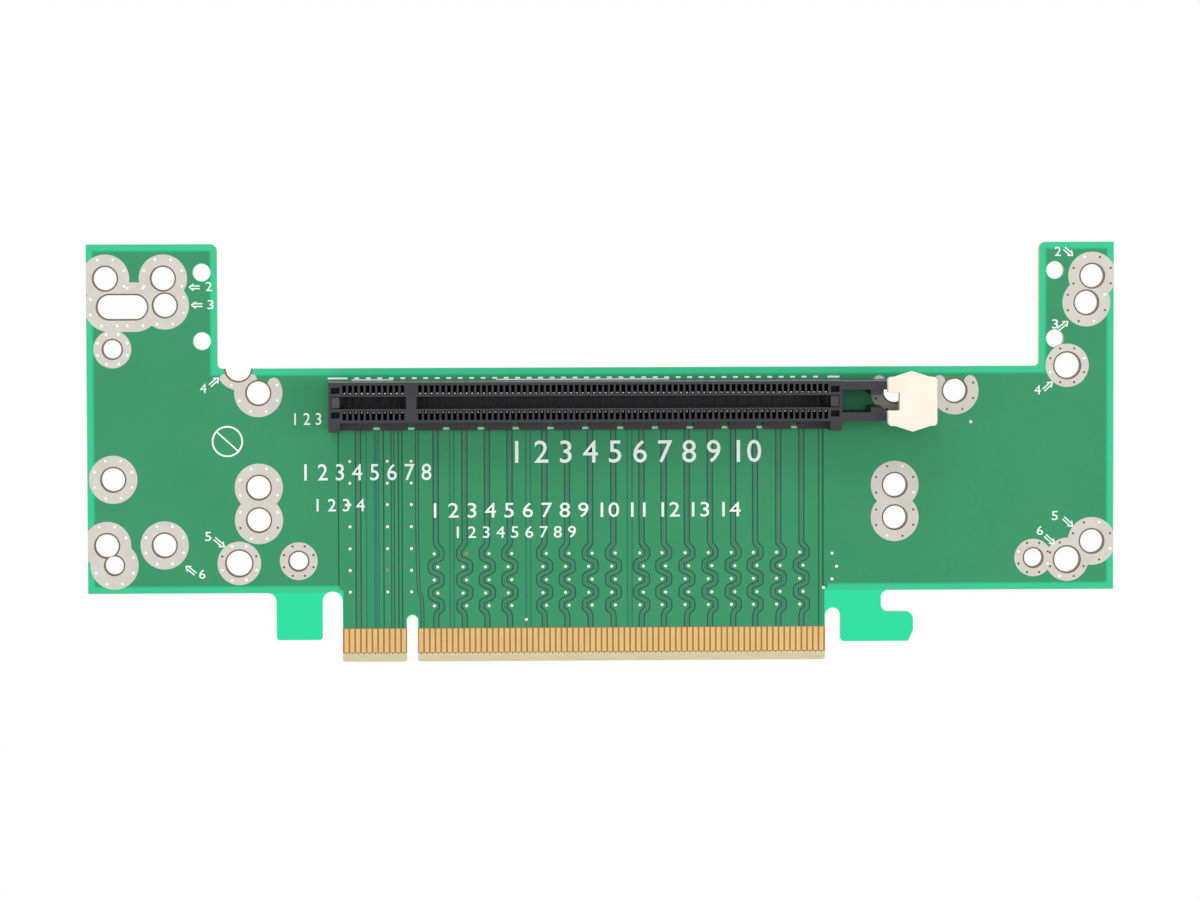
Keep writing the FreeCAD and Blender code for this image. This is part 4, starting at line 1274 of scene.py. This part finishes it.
# inside marks the deep walls of the slot, which are painted nearly black as painted shade.
inside = (aside * aside < INSIDE_HALF ** 2) * (tall < HOUSING_TOP - INSIDE_DEPTH) * past_start * before_end
outer_black = black.mix(flow, shade(44, 43, 48), shade(55, 54, 59))
black.feed(Base_Color=black.mix(inside, outer_black, shade(24, 24, 25)))
black.feed(Roughness=0.32 + pebble * 0.1 + flow * 0.06)
black.bump(pebble, 0.01 * MM, 0.5)
black.tell()

# %% [markdown]
# The card slot's mouth is a little wider than the solid has it. The walls on both sides of the
# slot are flat, so their points can be found by how far they stand from its middle, and moved
# outward. Only the copy changes; the solid keeps its size.

# %% Housing
CARD_HALF, WIDER = 0.9 * MM, 0.17 * MM
MOULD_ROUND = 0.07 * MM


def widen_card_slot(mesh):
    """Move both walls of the card slot a little outward, which leaves thin bars beside the cavities."""
    moved = 0
    for vert in mesh.verts:
        off_centre = vert.co.y - SLOT_CENTRE_Y
        if abs(abs(off_centre) - CARD_HALF) < SKIN * 2 and vert.co.z > TOP + SKIN:
            vert.co.y += math.copysign(WIDER, off_centre)
            moved += 1
    print("card slot:", moved, "points moved")


housing = dressed("slot_housing", MOULD_ROUND, 2, widen_card_slot)
piece("slot_moulding", housing, black, replaces=["slot_housing"])

# %% [markdown]
# At each end of the card slot a small ramp leads the card in. It starts just under the top face
# and falls towards the slot. Each ramp is one face of four points, extruded over the slot's width.

# %% Ramps at the slot's ends
RAMP_HALF = 0.92 * MM
RAMP_PROFILE = [(-0.1, -0.25), (1.3, -0.75), (1.3, -3.0), (-0.1, -3.0)]
ramps = bmesh.new()
for start, way in ((SLOT_START, 1), (SLOT_END, -1)):
    section = []
    for reach, rise in RAMP_PROFILE:
        x = spot(start + way * reach, 0).x
        section.append(ramps.verts.new((x, SLOT_CENTRE_Y - RAMP_HALF, HOUSING_TOP + rise * MM)))
    pushed = bmesh.ops.extrude_face_region(ramps, geom=[ramps.faces.new(section)])
    moved = [item for item in pushed["geom"] if isinstance(item, bmesh.types.BMVert)]
    bmesh.ops.translate(ramps, verts=moved, vec=(0, 2 * RAMP_HALF, 0))
piece("slot_ramps", outward(ramps), black)

# %% [markdown]
# ## Spring contacts
#
# Each contact is a strip of plated alloy, bent so that its nose would press on a card, and its
# tip tucks behind the bar at the top. Only the tips are high enough to catch light in the cavities,
# so above a height they get a pale painted highlight; the rest gets a dark painted shade, as it lies
# in the shade of the slot. A strip starts as a bent line, is extruded to its width, and gets its
# thickness by solidify. It starts on the cavity's floor, because the rest of it is hidden in the
# plastic.

# %% Spring finish
TIP_START = 10.02 * MM
spring_metal = Finish("plated_spring_alloy", Metallic=0.4, Roughness=0.45)
rub = spring_metal.grain(0.15 * MM, 2.0, (1, 1, 0.2))
at_tip = spring_metal.axes()[2] > TOP + TIP_START
# Painted shade below TIP_START, and a painted highlight on the tips above it.
shaded_spring = spring_metal.mix(rub, shade(66, 57, 42), shade(88, 77, 58))
lit_tip = spring_metal.mix(rub, shade(220, 218, 210), shade(244, 242, 236))
spring_metal.feed(Base_Color=spring_metal.mix(at_tip, shaded_spring, lit_tip))
spring_metal.feed(Roughness=0.38 + rub * 0.16)
spring_metal.tell()

# %% Springs
SPRING_WIDTH, SPRING_THICK = 0.32 * MM, 0.14 * MM
SPRING_LINE = [
    (2.62, 2.5), (2.6, 3.4), (2.35, 4.8), (1.9, 6.2), (1.4, 7.7), (1.14, 8.5),
    (1.03, 9.0), (1.06, 9.4), (1.2, 9.75), (1.36, 10.0), (1.55, 10.25), (1.66, 10.6),
]


def spring(mesh, x, side):
    """One contact: a bent strip from the cavity's floor to its tip."""
    left = spot(x, 0).x - SPRING_WIDTH / 2
    verts = [
        mesh.verts.new((left, SLOT_CENTRE_Y + side * reach * MM, TOP + rise * MM))
        for reach, rise in SPRING_LINE
    ]
    edges = [mesh.edges.new(pair) for pair in zip(verts, verts[1:])]
    made = bmesh.ops.extrude_edge_only(mesh, edges=edges)
    moved = [item for item in made["geom"] if isinstance(item, bmesh.types.BMVert)]
    bmesh.ops.translate(mesh, verts=moved, vec=(SPRING_WIDTH, 0, 0))
    strip = [item for item in made["geom"] if isinstance(item, bmesh.types.BMFace)]
    bmesh.ops.recalc_face_normals(mesh, faces=strip)
    bmesh.ops.solidify(mesh, geom=strip, thickness=SPRING_THICK)


for row, side in (("upper", 1), ("lower", -1)):
    for group, first, count in FINGER_GROUPS:
        springs = bmesh.new()
        for x in group_places(first, count):
            spring(springs, x, side)
        name = f"{row}_{group}"
        piece(f"springs_{name}", outward(springs), spring_metal,
              replaces=[f"slot_contacts_{name}"])

# %% [markdown]
# ## Solder joints on the back
#
# Wave solder leaves a small cone round each tail. A cone with a waist and the bare end of the
# tail is enough, grown from a disc like the domes and repeated by a loop for all of them. The
# tails stand in two rows on each side of the slot's middle, by turns.

# %% Solder cones
TAIL_ROWS = (2.8, 1.55)
JOINT_PROFILE = [(0.46, 0.0), (0.34, 0.2), (0.22, 0.5), (0.17, 0.8), (0.1, 0.95)]
profile = [(radius * MM, -drop * MM) for radius, drop in JOINT_PROFILE]
joint_mesh = bmesh.new()
for side in (1, -1):
    for _, first, count in FINGER_GROUPS:
        for index, x in enumerate(group_places(first, count)):
            y = SLOT_CENTRE_Y + side * TAIL_ROWS[index % 2] * MM
            grow(joint_mesh, Vector((spot(x, 0).x, y, BACK)), profile)
piece("solder_joints", outward(joint_mesh), tin, smooth=80)

# %% [markdown]
# ## Retention lever
#
# The lever is moulded in ivory plastic. Its solid is the right shape, so a copy gets larger
# rounding than the housing. Ivory is warm and slightly uneven, with a satin surface.

# %% Lever
LEVER_ROUND = 0.14 * MM
ivory = Finish("ivory_plastic", Roughness=0.45)
tone = ivory.grain(4 * MM, 2.0)
fine = ivory.grain(0.25 * MM, 2.0)
ivory.feed(Base_Color=ivory.mix(tone, shade(240, 228, 212), shade(246, 235, 221)))
ivory.feed(Roughness=0.4 + fine * 0.14)
ivory.bump(fine, 0.008 * MM, 0.4)
ivory.tell()
lever = dressed("latch_lever", LEVER_ROUND, 3)
piece("lever_moulding", lever, ivory, body="lever", replaces=["latch_lever"])
